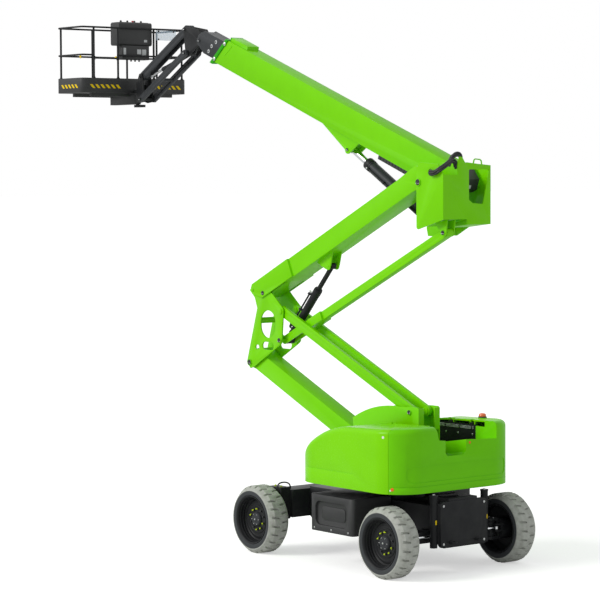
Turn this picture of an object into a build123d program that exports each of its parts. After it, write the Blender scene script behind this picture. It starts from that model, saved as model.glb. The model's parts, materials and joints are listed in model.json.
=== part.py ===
"""Articulating boom lift: four-wheel chassis, slewing turret, folding riser, main boom, jib and basket.

Frame in millimetres: the origin lies on the ground midway between the axles, +X points along the
booms towards the basket, +Y to the left and +Z up. Links of the riser and the booms are drawn in
their own frames: s runs from a link's first pin to its second, w runs upwards across it.
"""
from build123d import *
import math
import os

os.makedirs("parts", exist_ok=True)

# ---------------------------------------------------------------- driving dimensions
WHEELBASE = 2850
TRACK = 2140
TYRE_R = 487.5
TYRE_W = 350
LUG_DEPTH = 30
LUGS = 24
TREAD_SIDES = 48          # flats round the tyre
RIM_R = 338
RIM_WALL = 14
RUN_GAP = 0.05            # radial play of a pin in its bore
SEAT_GAP = 0.3            # play between faces that slide or turn on each other
SIDE_GAP = 5              # play beside moving links
KING_PIN_Y = 760          # king pins of the steered axle, from the middle plane

CHASSIS_HALF_W = 380
CHASSIS_BOTTOM = 400
CHASSIS_TOP = 930
END_X = -WHEELBASE / 2 - 325          # outer face of the end panel
AXLE_BOX_FRONT = WHEELBASE / 2 + 75   # outer face of the box of the driven axle
AXLE_BOX_REAR = WHEELBASE / 2 - 275   # its inner face

LUG_Y = 235               # lashing lugs, from the middle plane
LUG_T = 25
LUG_BORE_R = 25
LUG_REACH = 55            # bore, from the face that the lug stands on

SLEW_X = -400
TURRET_X = -520
TURRET_HALF_L = 1140
TURRET_HALF_W = 1125
TURRET_CORNER = 470
DECK_BOTTOM = 1130
DECK_TOP = 1180
DECK_INSET = 32
HOOD_BOTTOM = 1137
HOOD_TOP = 2020
HOOD_WALL = 24
HOOD_ROUND = 75           # rounding of the top edges
CREASE_Z = 1355
SEAM_X = -1420            # joint between hoods and tail weight
TAIL_IN_X = -1235         # inner face of the tail weight between the hoods
BEACON_X, BEACON_Y, BEACON_Z = -1090, -950, 2012
STOW_RIGHT_Y = -688       # far wall of the recess for the stowed top knuckle
HOOD_LEFT_Y = 323
HOOD_RIGHT_Y = -726
HINGE_IN = 18             # hood hinge axis, outboard of the hood's inner edge
HINGE_Z = 1950
HINGE_R = 8
HINGE_PLACES = (-1120, -680)
WALL_TOP = 1935
CHANNEL_FLOOR = 1600

# riser: lower boom, mid knuckle, upper riser
T1 = (-89, 1345)
TIE_OFFSET_LOW = (-759, 800)
LOWER_BOOM_L = 3192
LOWER_BOOM_ANGLE = 23.46
MID_TO_P3 = (-357, 1057)
TIE_OFFSET_HIGH = (-379, -688)
UPPER_RISER_L = 3898
UPPER_RISER_ANGLE = 25.14
LOWER_HALF_W = 140
TIE_IN, TIE_OUT = 100, 150
TIE_DEPTH = 150
KNUCKLE_IN, KNUCKLE_OUT = 160, 180
RISER_HALF_W = 172
CHEEK_IN, CHEEK_OUT = 185, 205
UPPER_TIE_HALF_W = 55
UPPER_TIE_DEPTH = 120
FORK_IN, FORK_OUT = 72, 90
BRACKET_U5 = (1458, -200)   # s, w of the rod pin under the upper riser

# main boom
BOOM_Y = -450
TO_K3 = (-223.4, -8.8)      # root pin of the boom, from the riser's top pin
TO_K4 = (246.6, -678.8)     # base pin of the lift cylinder, from the riser's top pin
BOOM_ANGLE = 20.5
BOOM_HALF_W = 150
BOOM_LOW, BOOM_HIGH = -215, 205
BOOM_WALL = 10
INNER_HALF_W = 115
INNER_LOW, INNER_HIGH = -190, 145
BRACKET_U4 = (2417, -394)
NOSE_PIN = (6467, -37)

# jib
TO_J1 = (424.6, 194.9)      # pin of the upper arm, from the nose pin
TO_J2 = (359.6, -180.1)     # pin of the lower arms, from the nose pin
JIB_VECTOR = (1250, -700)
JIB_EAR = (-150, -90)        # rod pin on the upper arm, from its outer pin
PLATE_IN, PLATE_OUT = 80, 98
ARM_IN, ARM_OUT = 105, 150

# basket
PIVOT_REACH = 290           # upright pin of the basket, from the lower arms' outer pin
BASKET_REACH = 70           # tray, from the upright pin
BASKET_L = 770
BASKET_Y0, BASKET_Y1 = -1485, 585
TRAY_RISE = 107             # underside of the tray, from the lower arms' outer pin
TRAY_H = 240
TRAY_WALL = 40
TRAY_CORNER = 80
TRAY_FLOOR = 25
MID_RAIL_H = 373            # rails, from the top of the tray's rim
TOP_RAIL_H = 823
GATE_H = 323
RAIL_R = 17
GATE_Y0, GATE_Y1 = -100, 310
CONSOLE_Y0, CONSOLE_Y1 = -818, -165
SCREEN_Y0, SCREEN_Y1 = -1290, -890
RAIL_INSET = TRAY_WALL / 2

PIN = {"T1": 35, "T2": 25, "P1": 35, "P2": 25, "P3": 35, "P4": 28, "K1": 35, "K2": 25,
       "K3": 40, "K4": 30, "N": 30, "J1": 20, "J2": 22, "J3": 20, "J4": 22, "EYE": 20}


# ---------------------------------------------------------------- frames and helpers
class Link:
    """Upright frame along a link, from its first pin to its second, in a plane of constant Y."""

    def __init__(self, start, direction):
        self.start = start
        length = math.hypot(*direction)
        self.ux, self.uz = direction[0] / length, direction[1] / length
        self.up = 1 if self.ux > 0 else -1

    def point(self, s, w):
        """World (x, z) of the link's (s, w)."""
        nx, nz = -self.uz * self.up, self.ux * self.up
        return (self.start[0] + s * self.ux + w * nx, self.start[1] + s * self.uz + w * nz)

    def plane(self, y):
        return Plane(origin=(self.start[0], y, self.start[1]), x_dir=(self.ux, 0, self.uz),
                     z_dir=(0, -self.up, 0))

    def plate(self, sketch, y_low, y_high):
        """Solid of a sketch in (s, w), from y_low to y_high."""
        return extrude(self.plane((y_low + y_high) / 2) * sketch, amount=(y_high - y_low) / 2, both=True)

    def block(self, s0, s1, w0, w1, y_low, y_high):
        return self.plate(rectangle(s0, s1, w0, w1), y_low, y_high)

    def disc(self, s, w, radius, y_low, y_high):
        return self.plate(Pos(s, w) * Circle(radius), y_low, y_high)


def rectangle(x0, x1, y0, y1):
    """Rectangle between two corners."""
    return Pos((x0 + x1) / 2, (y0 + y1) / 2) * Rectangle(abs(x1 - x0), abs(y1 - y0))


def outline(*points):
    """Closed face through the points."""
    return make_face(Polyline(*points, close=True))


def rounded(radius, *points):
    """Closed face through the points with every corner rounded."""
    face = outline(*points)
    return fillet(face.vertices(), radius)


def brick(x0, x1, y0, y1, z0, z1):
    """Box between two corners."""
    return Pos((x0 + x1) / 2, (y0 + y1) / 2, (z0 + z1) / 2) * Box(x1 - x0, y1 - y0, z1 - z0)


def rod(start, end, radius):
    """Round bar between two points."""
    axis = Vector(*end) - Vector(*start)
    return extrude(Plane(origin=start, z_dir=axis) * Circle(radius), amount=axis.length)


def upright(x, y, z0, z1, radius):
    return Pos(x, y, (z0 + z1) / 2) * Cylinder(radius, z1 - z0)


def across(x, z, y0, y1, radius):
    """Cylinder along Y."""
    return Pos(x, (y0 + y1) / 2, z) * Rot(90, 0, 0) * Cylinder(radius, y1 - y0)


def both_sides(solid):
    """A solid with its mirror image across the middle plane."""
    return solid + mirror(solid, Plane.XZ)


def add(a, b):
    return (a[0] + b[0], a[1] + b[1])


def polar(length, angle):
    return (length * math.cos(math.radians(angle)), length * math.sin(math.radians(angle)))


def save(name, solid):
    export_step(solid, "parts/" + name + ".step")


T2 = add(T1, TIE_OFFSET_LOW)
P1 = add(T1, polar(LOWER_BOOM_L, LOWER_BOOM_ANGLE))
P2 = add(P1, TIE_OFFSET_LOW)
P3 = add(P1, MID_TO_P3)
P4 = add(P3, TIE_OFFSET_HIGH)
K1 = add(P3, polar(UPPER_RISER_L, 180 - UPPER_RISER_ANGLE))
K2 = add(K1, TIE_OFFSET_HIGH)
LEVEL = (1, 0)
lower = Link(T1, polar(1, LOWER_BOOM_ANGLE))
lower_tie = Link(T2, polar(1, LOWER_BOOM_ANGLE))
mid = Link(P1, LEVEL)
upper = Link(P3, polar(1, 180 - UPPER_RISER_ANGLE))
high_tie = Link(P4, polar(1, 180 - UPPER_RISER_ANGLE))
crown = Link(K1, LEVEL)
K3 = add(K1, TO_K3)
K4 = add(K1, TO_K4)
boom = Link(K3, polar(1, BOOM_ANGLE))
U5 = upper.point(*BRACKET_U5)
U4 = boom.point(*BRACKET_U4)
N = boom.point(*NOSE_PIN)
J1 = add(N, TO_J1)
J2 = add(N, TO_J2)
J3 = add(J1, JIB_VECTOR)
J4 = add(J2, JIB_VECTOR)
arm_low = Link(J2, JIB_VECTOR)
arm_high = Link(J1, JIB_VECTOR)
ARM_L = math.hypot(*JIB_VECTOR)
J5 = arm_high.point(ARM_L + JIB_EAR[0], JIB_EAR[1])
PIVOT_X = J4[0] + PIVOT_REACH
BASKET_X0 = PIVOT_X + BASKET_REACH
BASKET_X1 = BASKET_X0 + BASKET_L
BASKET_MID_X = (BASKET_X0 + BASKET_X1) / 2
BASKET_MID_Y = (BASKET_Y0 + BASKET_Y1) / 2
RAIL_X0, RAIL_X1 = BASKET_X0 + RAIL_INSET, BASKET_X1 - RAIL_INSET
TRAY_LOW = J4[1] + TRAY_RISE
TRAY_HIGH = TRAY_LOW + TRAY_H
MID_RAIL_Z = TRAY_HIGH + MID_RAIL_H
TOP_RAIL_Z = TRAY_HIGH + TOP_RAIL_H
GATE_Z = TRAY_HIGH + GATE_H


# ---------------------------------------------------------------- chassis
AXLE_X = -WHEELBASE / 2
DRIVE_X = WHEELBASE / 2
WHEEL_Y = TRACK / 2
AXLE_HALF = 95
AXLE_LOW, AXLE_HIGH = 430, 590
STEER_ROD_X = AXLE_X - 150
STEER_ROD_Z = 530


def lashing_lugs(face_x, way, z):
    """Pair of flat lashing lugs on an end face, standing out along X."""
    plate = rectangle(0, way * LUG_REACH, -48, 48) + Pos(way * LUG_REACH, 0) * Circle(48)
    plate -= Pos(way * LUG_REACH, 0) * Circle(LUG_BORE_R)
    return both_sides(extrude(Pos(face_x, LUG_Y, z) * plate, amount=LUG_T / 2, both=True))


def chassis_frame():
    """Box frame with an arch over the steered axle."""
    side = outline((END_X + 60, CHASSIS_BOTTOM), (AXLE_X - 215, CHASSIS_BOTTOM), (AXLE_X - 215, 600),
                   (AXLE_X + 115, 600), (AXLE_X + 115, CHASSIS_BOTTOM), (AXLE_BOX_REAR - 150, CHASSIS_BOTTOM),
                   (AXLE_BOX_REAR, 500), (AXLE_BOX_REAR, CHASSIS_TOP), (END_X + 60, CHASSIS_TOP))
    world = Link((0, 0), LEVEL)
    return world.plate(side, -CHASSIS_HALF_W, CHASSIS_HALF_W)


def end_guard():
    """Bare end panel with corner posts and the block on top."""
    panel = Plane(origin=(END_X, 0, 690), x_dir=(0, 1, 0), z_dir=(1, 0, 0)) * RectangleRounded(840, 630, 60)
    guard = extrude(panel, amount=60)
    for side in (-1, 1):
        guard += upright(END_X + 100, side * 465, 380, 1080, 52) + upright(END_X + 100, side * 465, 1080, 1100, 58)
        guard += brick(END_X + 40, END_X + 100, min(side * 400, side * 440), max(side * 400, side * 440), 430, 980)
    guard += brick(END_X + 20, END_X + 260, -260, 260, CHASSIS_TOP, 1040)
    guard -= brick(END_X + 61, END_X + 400, -400, 400, 300, CHASSIS_TOP)
    return guard + lashing_lugs(END_X, -1, 450)


def steer_axle():
    """Axle beam with the king-pin barrels and the holders of the steering cylinder."""
    beam = brick(AXLE_X - AXLE_HALF, AXLE_X + AXLE_HALF, -690, 690, AXLE_LOW, AXLE_HIGH)
    beam += brick(AXLE_X - 60, AXLE_X + 60, -200, 200, AXLE_HIGH, 600)
    for side in (-1, 1):
        beam += upright(AXLE_X, side * KING_PIN_Y, 402, 598, 78)
        beam += brick(STEER_ROD_X - 25, AXLE_X - 80, side * 230 - 20, side * 230 + 20, 470, 585)
    for side in (-1, 1):
        beam -= upright(AXLE_X, side * KING_PIN_Y, 300, 700, 30 + RUN_GAP)
    return beam - across(STEER_ROD_X, STEER_ROD_Z, -300, 300, 38 + SEAT_GAP)


def steer_cylinder():
    """Fixed double-ended steering cylinder."""
    body = across(STEER_ROD_X, STEER_ROD_Z, -330, 330, 38)
    for side in (-1, 1):
        body += across(STEER_ROD_X, STEER_ROD_Z, side * 320 - 18, side * 320 + 18, 44)
    return body - across(STEER_ROD_X, STEER_ROD_Z, -400, 400, 20 + RUN_GAP)


def steer_rod():
    """Through rod of the steering cylinder with an eye at each end."""
    bar = across(STEER_ROD_X, STEER_ROD_Z, -KING_PIN_Y, KING_PIN_Y, 20)
    for side in (-1, 1):
        bar += upright(STEER_ROD_X, side * KING_PIN_Y, STEER_ROD_Z - 18, STEER_ROD_Z + 18, 32)
    return bar


def steer_knuckle():
    """Left yoke: king pin, arms round the axle's barrel, hub motor housing and steering arm."""
    yoke = upright(AXLE_X, KING_PIN_Y, 352, 648, 30)
    for low in (352, 606):
        yoke += upright(AXLE_X, KING_PIN_Y, low, low + 42, 76)
        yoke += brick(AXLE_X - 70, AXLE_X + 70, KING_PIN_Y, 880, low, low + 42)
    yoke += brick(AXLE_X - 70, AXLE_X + 70, 850, 880, 352, 648)
    yoke += across(AXLE_X, TYRE_R, 880, 1090, 150)
    yoke += across(AXLE_X, TYRE_R, 1090, 1150, 45)
    yoke += brick(STEER_ROD_X, AXLE_X - 60, 845, 880, STEER_ROD_Z - 45, STEER_ROD_Z + 45)
    for low in (STEER_ROD_Z - 52, STEER_ROD_Z + 30):
        yoke += brick(STEER_ROD_X - 30, STEER_ROD_X + 30, KING_PIN_Y, 880, low, low + 22)
        yoke += upright(STEER_ROD_X, KING_PIN_Y, low, low + 22, 30)
    return yoke


def drive_axle():
    """Box of the driven axle with an open bracket and hub motor at each end."""
    box = brick(AXLE_BOX_REAR, AXLE_BOX_FRONT, -700, 700, 500, 900)
    for side in (-1, 1):
        end = brick(AXLE_BOX_REAR + 50, AXLE_BOX_FRONT, 700, 870, 480, 940)
        end -= brick(AXLE_BOX_REAR + 90, AXLE_BOX_FRONT - 40, 760, 900, 560, 860)
        end += across(DRIVE_X, TYRE_R, 740, 1090, 150) + across(DRIVE_X, TYRE_R, 1090, 1150, 45)
        box += end if side > 0 else mirror(end, Plane.XZ)
    return box + lashing_lugs(AXLE_BOX_FRONT, 1, 580)


def side_pod():
    """Left moulded pod beside the frame, with its rounded recess."""
    plan = fillet(rectangle(-700, 240, CHASSIS_HALF_W, 1100).vertices(), 60)
    pod = extrude(Pos(0, 0, 476) * plan, amount=514)
    recess = Plane(origin=(-230, 1100, 733), x_dir=(1, 0, 0), z_dir=(0, 1, 0)) * RectangleRounded(700, 330, 90)
    return pod - extrude(recess, amount=-40)


def slew_ring():
    return upright(SLEW_X, 0, CHASSIS_TOP, 1010, 370) + upright(SLEW_X, 0, 1010, DECK_BOTTOM - SEAT_GAP, 330)


# ---------------------------------------------------------------- wheels
def tyre():
    """Lugged tyre about the Y axis: carcass of flats with grooves cut from each shoulder."""
    half = TYRE_W / 2
    corner = 1 / math.cos(math.pi / TREAD_SIDES)

    def barrel_of(*stations):
        turn = Rot(0, 0, 180 / TREAD_SIDES)
        hoops = [Plane(origin=(0, y, 0), x_dir=(1, 0, 0), z_dir=(0, 1, 0)) * turn
                 * RegularPolygon(radius * corner, TREAD_SIDES) for y, radius in stations]
        return loft(hoops, ruled=True)

    body = barrel_of((-half, TYRE_R - 60), (-half + 70, TYRE_R), (half - 70, TYRE_R), (half, TYRE_R - 60))
    body -= barrel_of((-half, RIM_R + 22), (-half + 20, RIM_R), (half - 20, RIM_R), (half, RIM_R + 22))
    grooves = []
    for side in (-1, 1):
        for i in range(LUGS):
            turn = 360 / LUGS * (i + (0.5 if side > 0 else 0))
            cut = outline((-16, 20), (8, 20), (40, half + 10), (2, half + 10))
            tool = extrude(Pos(0, 0, TYRE_R - LUG_DEPTH) * cut, amount=80)
            tool = tool if side > 0 else mirror(tool, Plane.XZ)
            grooves.append(Rot(0, turn, 0) * tool)
    return body - grooves


def rim():
    """Dished rim with hub cover, outboard side towards +Y."""
    half = TYRE_W / 2
    inner = RIM_R - RIM_WALL
    profile = outline((45 + RUN_GAP, 28), (inner - 60, 28), (inner, -20), (inner, -half + 14), (RIM_R + 6, -half),
                      (RIM_R + 10, -half + 8), (RIM_R - SEAT_GAP, -half + 16), (RIM_R - SEAT_GAP, half - 16),
                      (RIM_R + 10, half - 8), (RIM_R + 6, half), (inner, half - 14), (inner, 0),
                      (inner - 50, 46), (45 + RUN_GAP, 46))
    disc = revolve(profile, Axis.Y)
    disc += Pos(0, 70, 0) * Rot(90, 0, 0) * (Cylinder(105, 56))
    disc -= Pos(0, 55, 0) * Rot(90, 0, 0) * Cylinder(45 + RUN_GAP, 54)
    return disc


# ---------------------------------------------------------------- turret
def turret_plan(inset):
    return Pos(TURRET_X, 0) * RectangleRounded(2 * (TURRET_HALF_L - inset), 2 * (TURRET_HALF_W - inset),
                                               TURRET_CORNER - inset)


def turret_deck():
    back, front = TAIL_IN_X, 430
    walls = brick(back, front, 300, 318, DECK_TOP, WALL_TOP)
    walls += brick(back, front, -237, -225, DECK_TOP, CHANNEL_FLOOR)
    walls += brick(back, front, -720, -225, CHANNEL_FLOOR - 12, CHANNEL_FLOOR)
    walls += brick(back, front, -720, -708, CHANNEL_FLOOR - 12, WALL_TOP)
    deck = extrude(Pos(0, 0, DECK_BOTTOM) * turret_plan(DECK_INSET), amount=DECK_TOP - DECK_BOTTOM)
    deck += walls & under_profile(HOOD_WALL + 8)
    for place in HINGE_PLACES:
        for wall, axis in ((300, HOOD_LEFT_Y + HINGE_IN), (-708, HOOD_RIGHT_Y - HINGE_IN)):
            deck += brick(place - 30, place + 30, min(wall, axis), max(wall, axis), WALL_TOP - 10, HINGE_Z + 12)
            deck += rod((place - 60, axis, HINGE_Z), (place + 60, axis, HINGE_Z), HINGE_R)
    return deck


def turret_mast():
    """Two side plates that carry the pins of the lower boom and of its ties."""
    world = Link((0, 0), LEVEL)
    back, front = T2[0] - 190, T1[0] + 480
    tail = Polyline((front, 1975), (front - 80, DECK_TOP), (back, DECK_TOP), (back, 2195), (back + 25, 2222),
                    (back + 150, 2222), (-620, 2207))
    side = make_face([tail, ThreePointArc((-620, 2207), (-60, 2152), (front, 1975))])
    mast = both_sides(world.plate(side, 176, 196))
    mast += both_sides(brick(back, back + 15, TIE_IN, 196, 1900, 2205))
    for name, place, inner in (("T1", T1, 146), ("T2", T2, 156)):
        mast += both_sides(across(*place, inner, 176, 62)) + both_sides(across(*place, 196, 208, PIN[name] + 16))
    mast += across(*T1, -176, 176, PIN["T1"]) + both_sides(across(*T2, TIE_IN - 8, 176, PIN["T2"]))
    mast += both_sides(across(*T2, TIE_IN - 12, TIE_IN - 5, 55))
    return mast + across(-980, 1240, -176, 176, 28)


def under_profile(inset):
    """Everything below the crowned side profile of the hoods, less an inset."""
    bend, nose = HOOD_TOP - 35 - inset, 1330 - inset
    edge = Polyline((-600, bend), (-2000, bend + 50), (-2000, 900), (640, 900), (640, nose))
    curve = ThreePointArc((640, nose), (100 - inset * 0.5, 1800 - inset * 0.85), (-600, bend))
    return Link((0, 0), LEVEL).plate(make_face([edge, curve]), -1300, 1300)


def hood_form(inset):
    """Rounded outer form of hoods and tail weight, smaller by an inset."""
    bottom = HOOD_BOTTOM - 2 * inset
    form = extrude(Pos(0, 0, bottom) * turret_plan(inset), amount=HOOD_TOP + 200 - bottom) & under_profile(inset)
    rim = []
    for edge in form.edges():
        size, middle = edge.bounding_box().size, edge.center()
        upright_edge = size.X < 1 and size.Y < 1
        bend = size.X < 1 and size.Z < 1 and middle.X < 600
        if middle.Z > 1250 and not upright_edge and not bend:
            rim.append(edge)
    return fillet(rim, HOOD_ROUND - inset)


def ring_band(depth, low, high):
    """Outer skin of the plan form, depth thick, between two heights."""
    return extrude(Pos(0, 0, low) * (turret_plan(-5) - turret_plan(depth)), amount=high - low)


def counterweight():
    """Cast tail with the recess for the stowed top knuckle and a sunk panel round its back."""
    between = (HOOD_RIGHT_Y + 6, HOOD_LEFT_Y - 5)
    tail = hood_form(0) & (brick(-2000, SEAM_X, -1300, 1300, 1000, 2200)
                           + brick(-2000, TAIL_IN_X, *between, 1000, WALL_TOP - 10))
    stow = outline((520, 2400), (408, 1985), (372, 1838), (252, 1825), (252, 1650), (214, 1612), (-82, 1612),
                   (-120, 1650), (-120, 1818), (STOW_RIGHT_Y, 1790), (STOW_RIGHT_Y, 2400))
    across_tail = Plane(origin=(-1660, 0, 0), x_dir=(0, 1, 0), z_dir=(1, 0, 0))
    tail -= extrude(across_tail.offset(-100) * Pos(0, 16) * stow, amount=700, dir=(1, 0, -0.16))
    panel = Plane(origin=(-1800, 0, 1400), x_dir=(0, 1, 0), z_dir=(1, 0, 0)) * RectangleRounded(1800, 225, 90)
    tail -= ring_band(9, 1250, 1550) & extrude(panel, amount=600)
    tail -= ring_band(5, 1228, 1238) & brick(-2000, -1450, -1300, 1300, 1200, 1300)
    return tail - extrude(Pos(0, 0, 900) * turret_plan(DECK_INSET), amount=DECK_TOP - 900)


def hood(y0, y1):
    """Hood shell between two planes of Y, open below and towards the middle."""
    outer = hood_form(0) & brick(SEAM_X + 4, 1000, y0, y1, 1000, 2200)
    inner = hood_form(HOOD_WALL) & brick(SEAM_X + 4 + HOOD_WALL, 1000, y0 - 100, y1 + 100, 900, 2200)
    shell = outer - inner
    shell -= extrude(Pos(0, 0, 1000) * turret_plan(DECK_INSET - 5), amount=DECK_TOP + 5 - 1000)
    shell -= ring_band(5, CREASE_Z - 6, CREASE_Z + 6) & brick(-720, 1000, y0, y1, 1000, 2200)
    if y0 < BEACON_Y < y1:
        shell += upright(BEACON_X, BEACON_Y, BEACON_Z - 25, BEACON_Z, 66)
    axis = HOOD_LEFT_Y + HINGE_IN if y0 == HOOD_LEFT_Y else HOOD_RIGHT_Y - HINGE_IN
    for place in HINGE_PLACES:
        shell -= brick(place - 32, place + 32, axis - HINGE_IN, axis + HINGE_IN, HINGE_Z - 30, HOOD_TOP + 1)
        for x in (place - 46, place + 46):
            shell += brick(x - 12, x + 12, axis - 13, axis + 13, HINGE_Z - 13, HOOD_TOP - HOOD_WALL + 2)
        shell -= rod((place - 60, axis, HINGE_Z), (place + 60, axis, HINGE_Z), HINGE_R + RUN_GAP)
    return shell


def beacon():
    """Low round lamp on the pad of the right hood."""
    lens = Pos(BEACON_X, BEACON_Y, BEACON_Z + 32) * Cylinder(52, 64)
    lens = fillet(lens.edges().sort_by(Axis.Z)[-1], 22)
    return lens + upright(BEACON_X, BEACON_Y, BEACON_Z, BEACON_Z + 16, 60)


# ---------------------------------------------------------------- riser
def lower_boom():
    end = LOWER_BOOM_L
    body = lower.plate(outline((120, -50), (end - 122, -50), (end, -75), (end + 58, -40), (end + 70, 40),
                               (end - 42, 257), (end - 132, 257), (end - 232, 225), (180, 225), (-20, 95), (-95, 20),
                               (-95, -40), (-60, -80), (40, -95)), -LOWER_HALF_W, LOWER_HALF_W)
    body -= lower.block(200, end - 292, -40, 215, -LOWER_HALF_W + 10, LOWER_HALF_W - 10)
    for s, name in ((0, "T1"), (LOWER_BOOM_L, "P1")):
        body -= lower.disc(s, 0, PIN[name] + RUN_GAP, -200, 200)
    return body


def lower_ties():
    half = TIE_DEPTH / 2
    bar = lower_tie.plate(SlotCenterToCenter(LOWER_BOOM_L, TIE_DEPTH).move(Location((LOWER_BOOM_L / 2, 0))),
                          TIE_IN, TIE_OUT)
    for s, name in ((0, "T2"), (LOWER_BOOM_L, "P2")):
        bar -= lower_tie.disc(s, 0, PIN[name] + RUN_GAP, 0, 200)
    return both_sides(bar)


def mid_knuckle():
    """Two side plates joined by a cross tube, carrying four pins."""
    side = outline((75, 0), (-188, 825), (-128, 981), (-7, 1087), (-87, 1169), (-536, 1070), (-806, 852),
                   (-823, 822), (-781, 331), (-733, 297), (-109, -56), (-12, -91))
    side -= Pos(-454, 596) * Rot(0, 0, 90) * SlotOverall(410, 360)
    side -= Pos(-451, 270) * Rot(0, 0, 0) * SlotOverall(275, 117)
    side -= Pos(-186, 240) * SlotOverall(90, 70)
    plates = both_sides(mid.plate(side, KNUCKLE_IN, KNUCKLE_OUT))
    local = {"P1": (0, 0), "P2": TIE_OFFSET_LOW, "P3": MID_TO_P3, "P4": add(MID_TO_P3, TIE_OFFSET_HIGH)}
    for name, reach in (("P1", 0), ("P2", TIE_IN - 8), ("P3", 0), ("P4", 0)):
        bolt = mid.disc(*local[name], PIN[name], reach, KNUCKLE_OUT)
        plates += both_sides(bolt)
        if name != "P3":
            plates += both_sides(mid.disc(*local[name], PIN[name] + 16, KNUCKLE_OUT, KNUCKLE_OUT + 14))
    plates += both_sides(mid.disc(*local["P3"], PIN["P3"], KNUCKLE_OUT, CHEEK_OUT))
    plates += both_sides(mid.disc(*local["P2"], 50, TIE_IN - 12, TIE_IN - 5))
    plates += mid.disc(-215, 640, 45, -KNUCKLE_IN, KNUCKLE_IN)
    return plates


def upper_riser():
    """Box riser with narrow root, outer cheeks round the mid knuckle and the bracket of the rod."""
    end = UPPER_RISER_L
    box = upper.plate(outline((560, -55), (end - 198, -55), (end + 2, -75), (end + 87, -40), (end + 100, 40),
                              (end + 62, 200), (end + 2, 247), (end - 398, 225), (560, 225)),
                      -RISER_HALF_W, RISER_HALF_W)
    root = upper.plate(outline((-60, -55), (560, -55), (560, 225), (-190, 225), (-235, 180), (-235, 90)), -148, 148)
    body = box + root
    body -= upper.block(600, end - 298, -45, 215, -RISER_HALF_W + 10, RISER_HALF_W - 10)
    cheek = upper.plate(outline((-60, -55), (760, -55), (760, 225), (-190, 225), (-240, 180), (-240, 90)),
                        CHEEK_IN, CHEEK_OUT)
    pad = upper.block(560, 760, -55, 225, RISER_HALF_W - 20, CHEEK_IN)
    s, w = BRACKET_U5
    ear = upper.plate(outline((s - 60, w - 20), (s + 60, w - 20), (s + 200, -55), (s - 200, -55)), FORK_IN, FORK_OUT)
    ear += upper.disc(s, w, 55, FORK_IN, FORK_OUT) + upper.disc(s, w, PIN["EYE"], 50, FORK_OUT + 4)
    body += both_sides(cheek + pad) + both_sides(ear)
    body += both_sides(upper.disc(-205, 139, 22, CHEEK_IN, CHEEK_OUT + 12))
    for s, name in ((0, "P3"), (UPPER_RISER_L, "K1")):
        body -= upper.disc(s, 0, PIN[name] + RUN_GAP, -240, 240)
    return body


def upper_tie():
    """Tie with a fork at the mid knuckle, a sleeve and a slim bar."""
    depth = UPPER_TIE_DEPTH
    fork = high_tie.plate(Pos(350, 0) * SlotCenterToCenter(700, depth), FORK_IN, FORK_OUT)
    body = both_sides(fork) + high_tie.block(640, 950, -65, 65, -FORK_OUT, FORK_OUT)
    body += high_tie.plate(Pos(940 + (UPPER_RISER_L - 940) / 2, 0) * SlotCenterToCenter(UPPER_RISER_L - 940, depth),
                           -UPPER_TIE_HALF_W, UPPER_TIE_HALF_W)
    for s, name in ((0, "P4"), (UPPER_RISER_L, "K2")):
        body -= high_tie.disc(s, 0, PIN[name] + RUN_GAP, -200, 200)
    return body


def barrel_and_rod(link, length, barrel_l, barrel_r, rod_r, eye_r, eye_half, base_pin, y, base_half, inner_end):
    """Barrel from its base pin and rod to its eye, at rest length between the two pins."""
    barrel = link.plate(rectangle(0, barrel_r, -barrel_r * 0.8, barrel_r * 0.8), y - base_half, y + base_half)
    barrel += link.disc(0, 0, eye_r + 12, y - base_half, y + base_half)
    a, b = link.point(barrel_r * 0.7, 0), link.point(barrel_l, 0)
    barrel += rod((a[0], y, a[1]), (b[0], y, b[1]), barrel_r)
    c, d = link.point(barrel_r * 1.6, 0), link.point(length, 0)
    barrel -= rod((c[0], y, c[1]), (d[0], y, d[1]), rod_r + RUN_GAP)
    barrel -= link.disc(0, 0, base_pin + RUN_GAP, y - base_half - 1, y + base_half + 1)
    e = link.point(inner_end, 0)
    bar = rod((e[0], y, e[1]), (d[0], y, d[1]), rod_r)
    bar += link.disc(length, 0, eye_r, y - eye_half, y + eye_half)
    return barrel, bar


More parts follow.
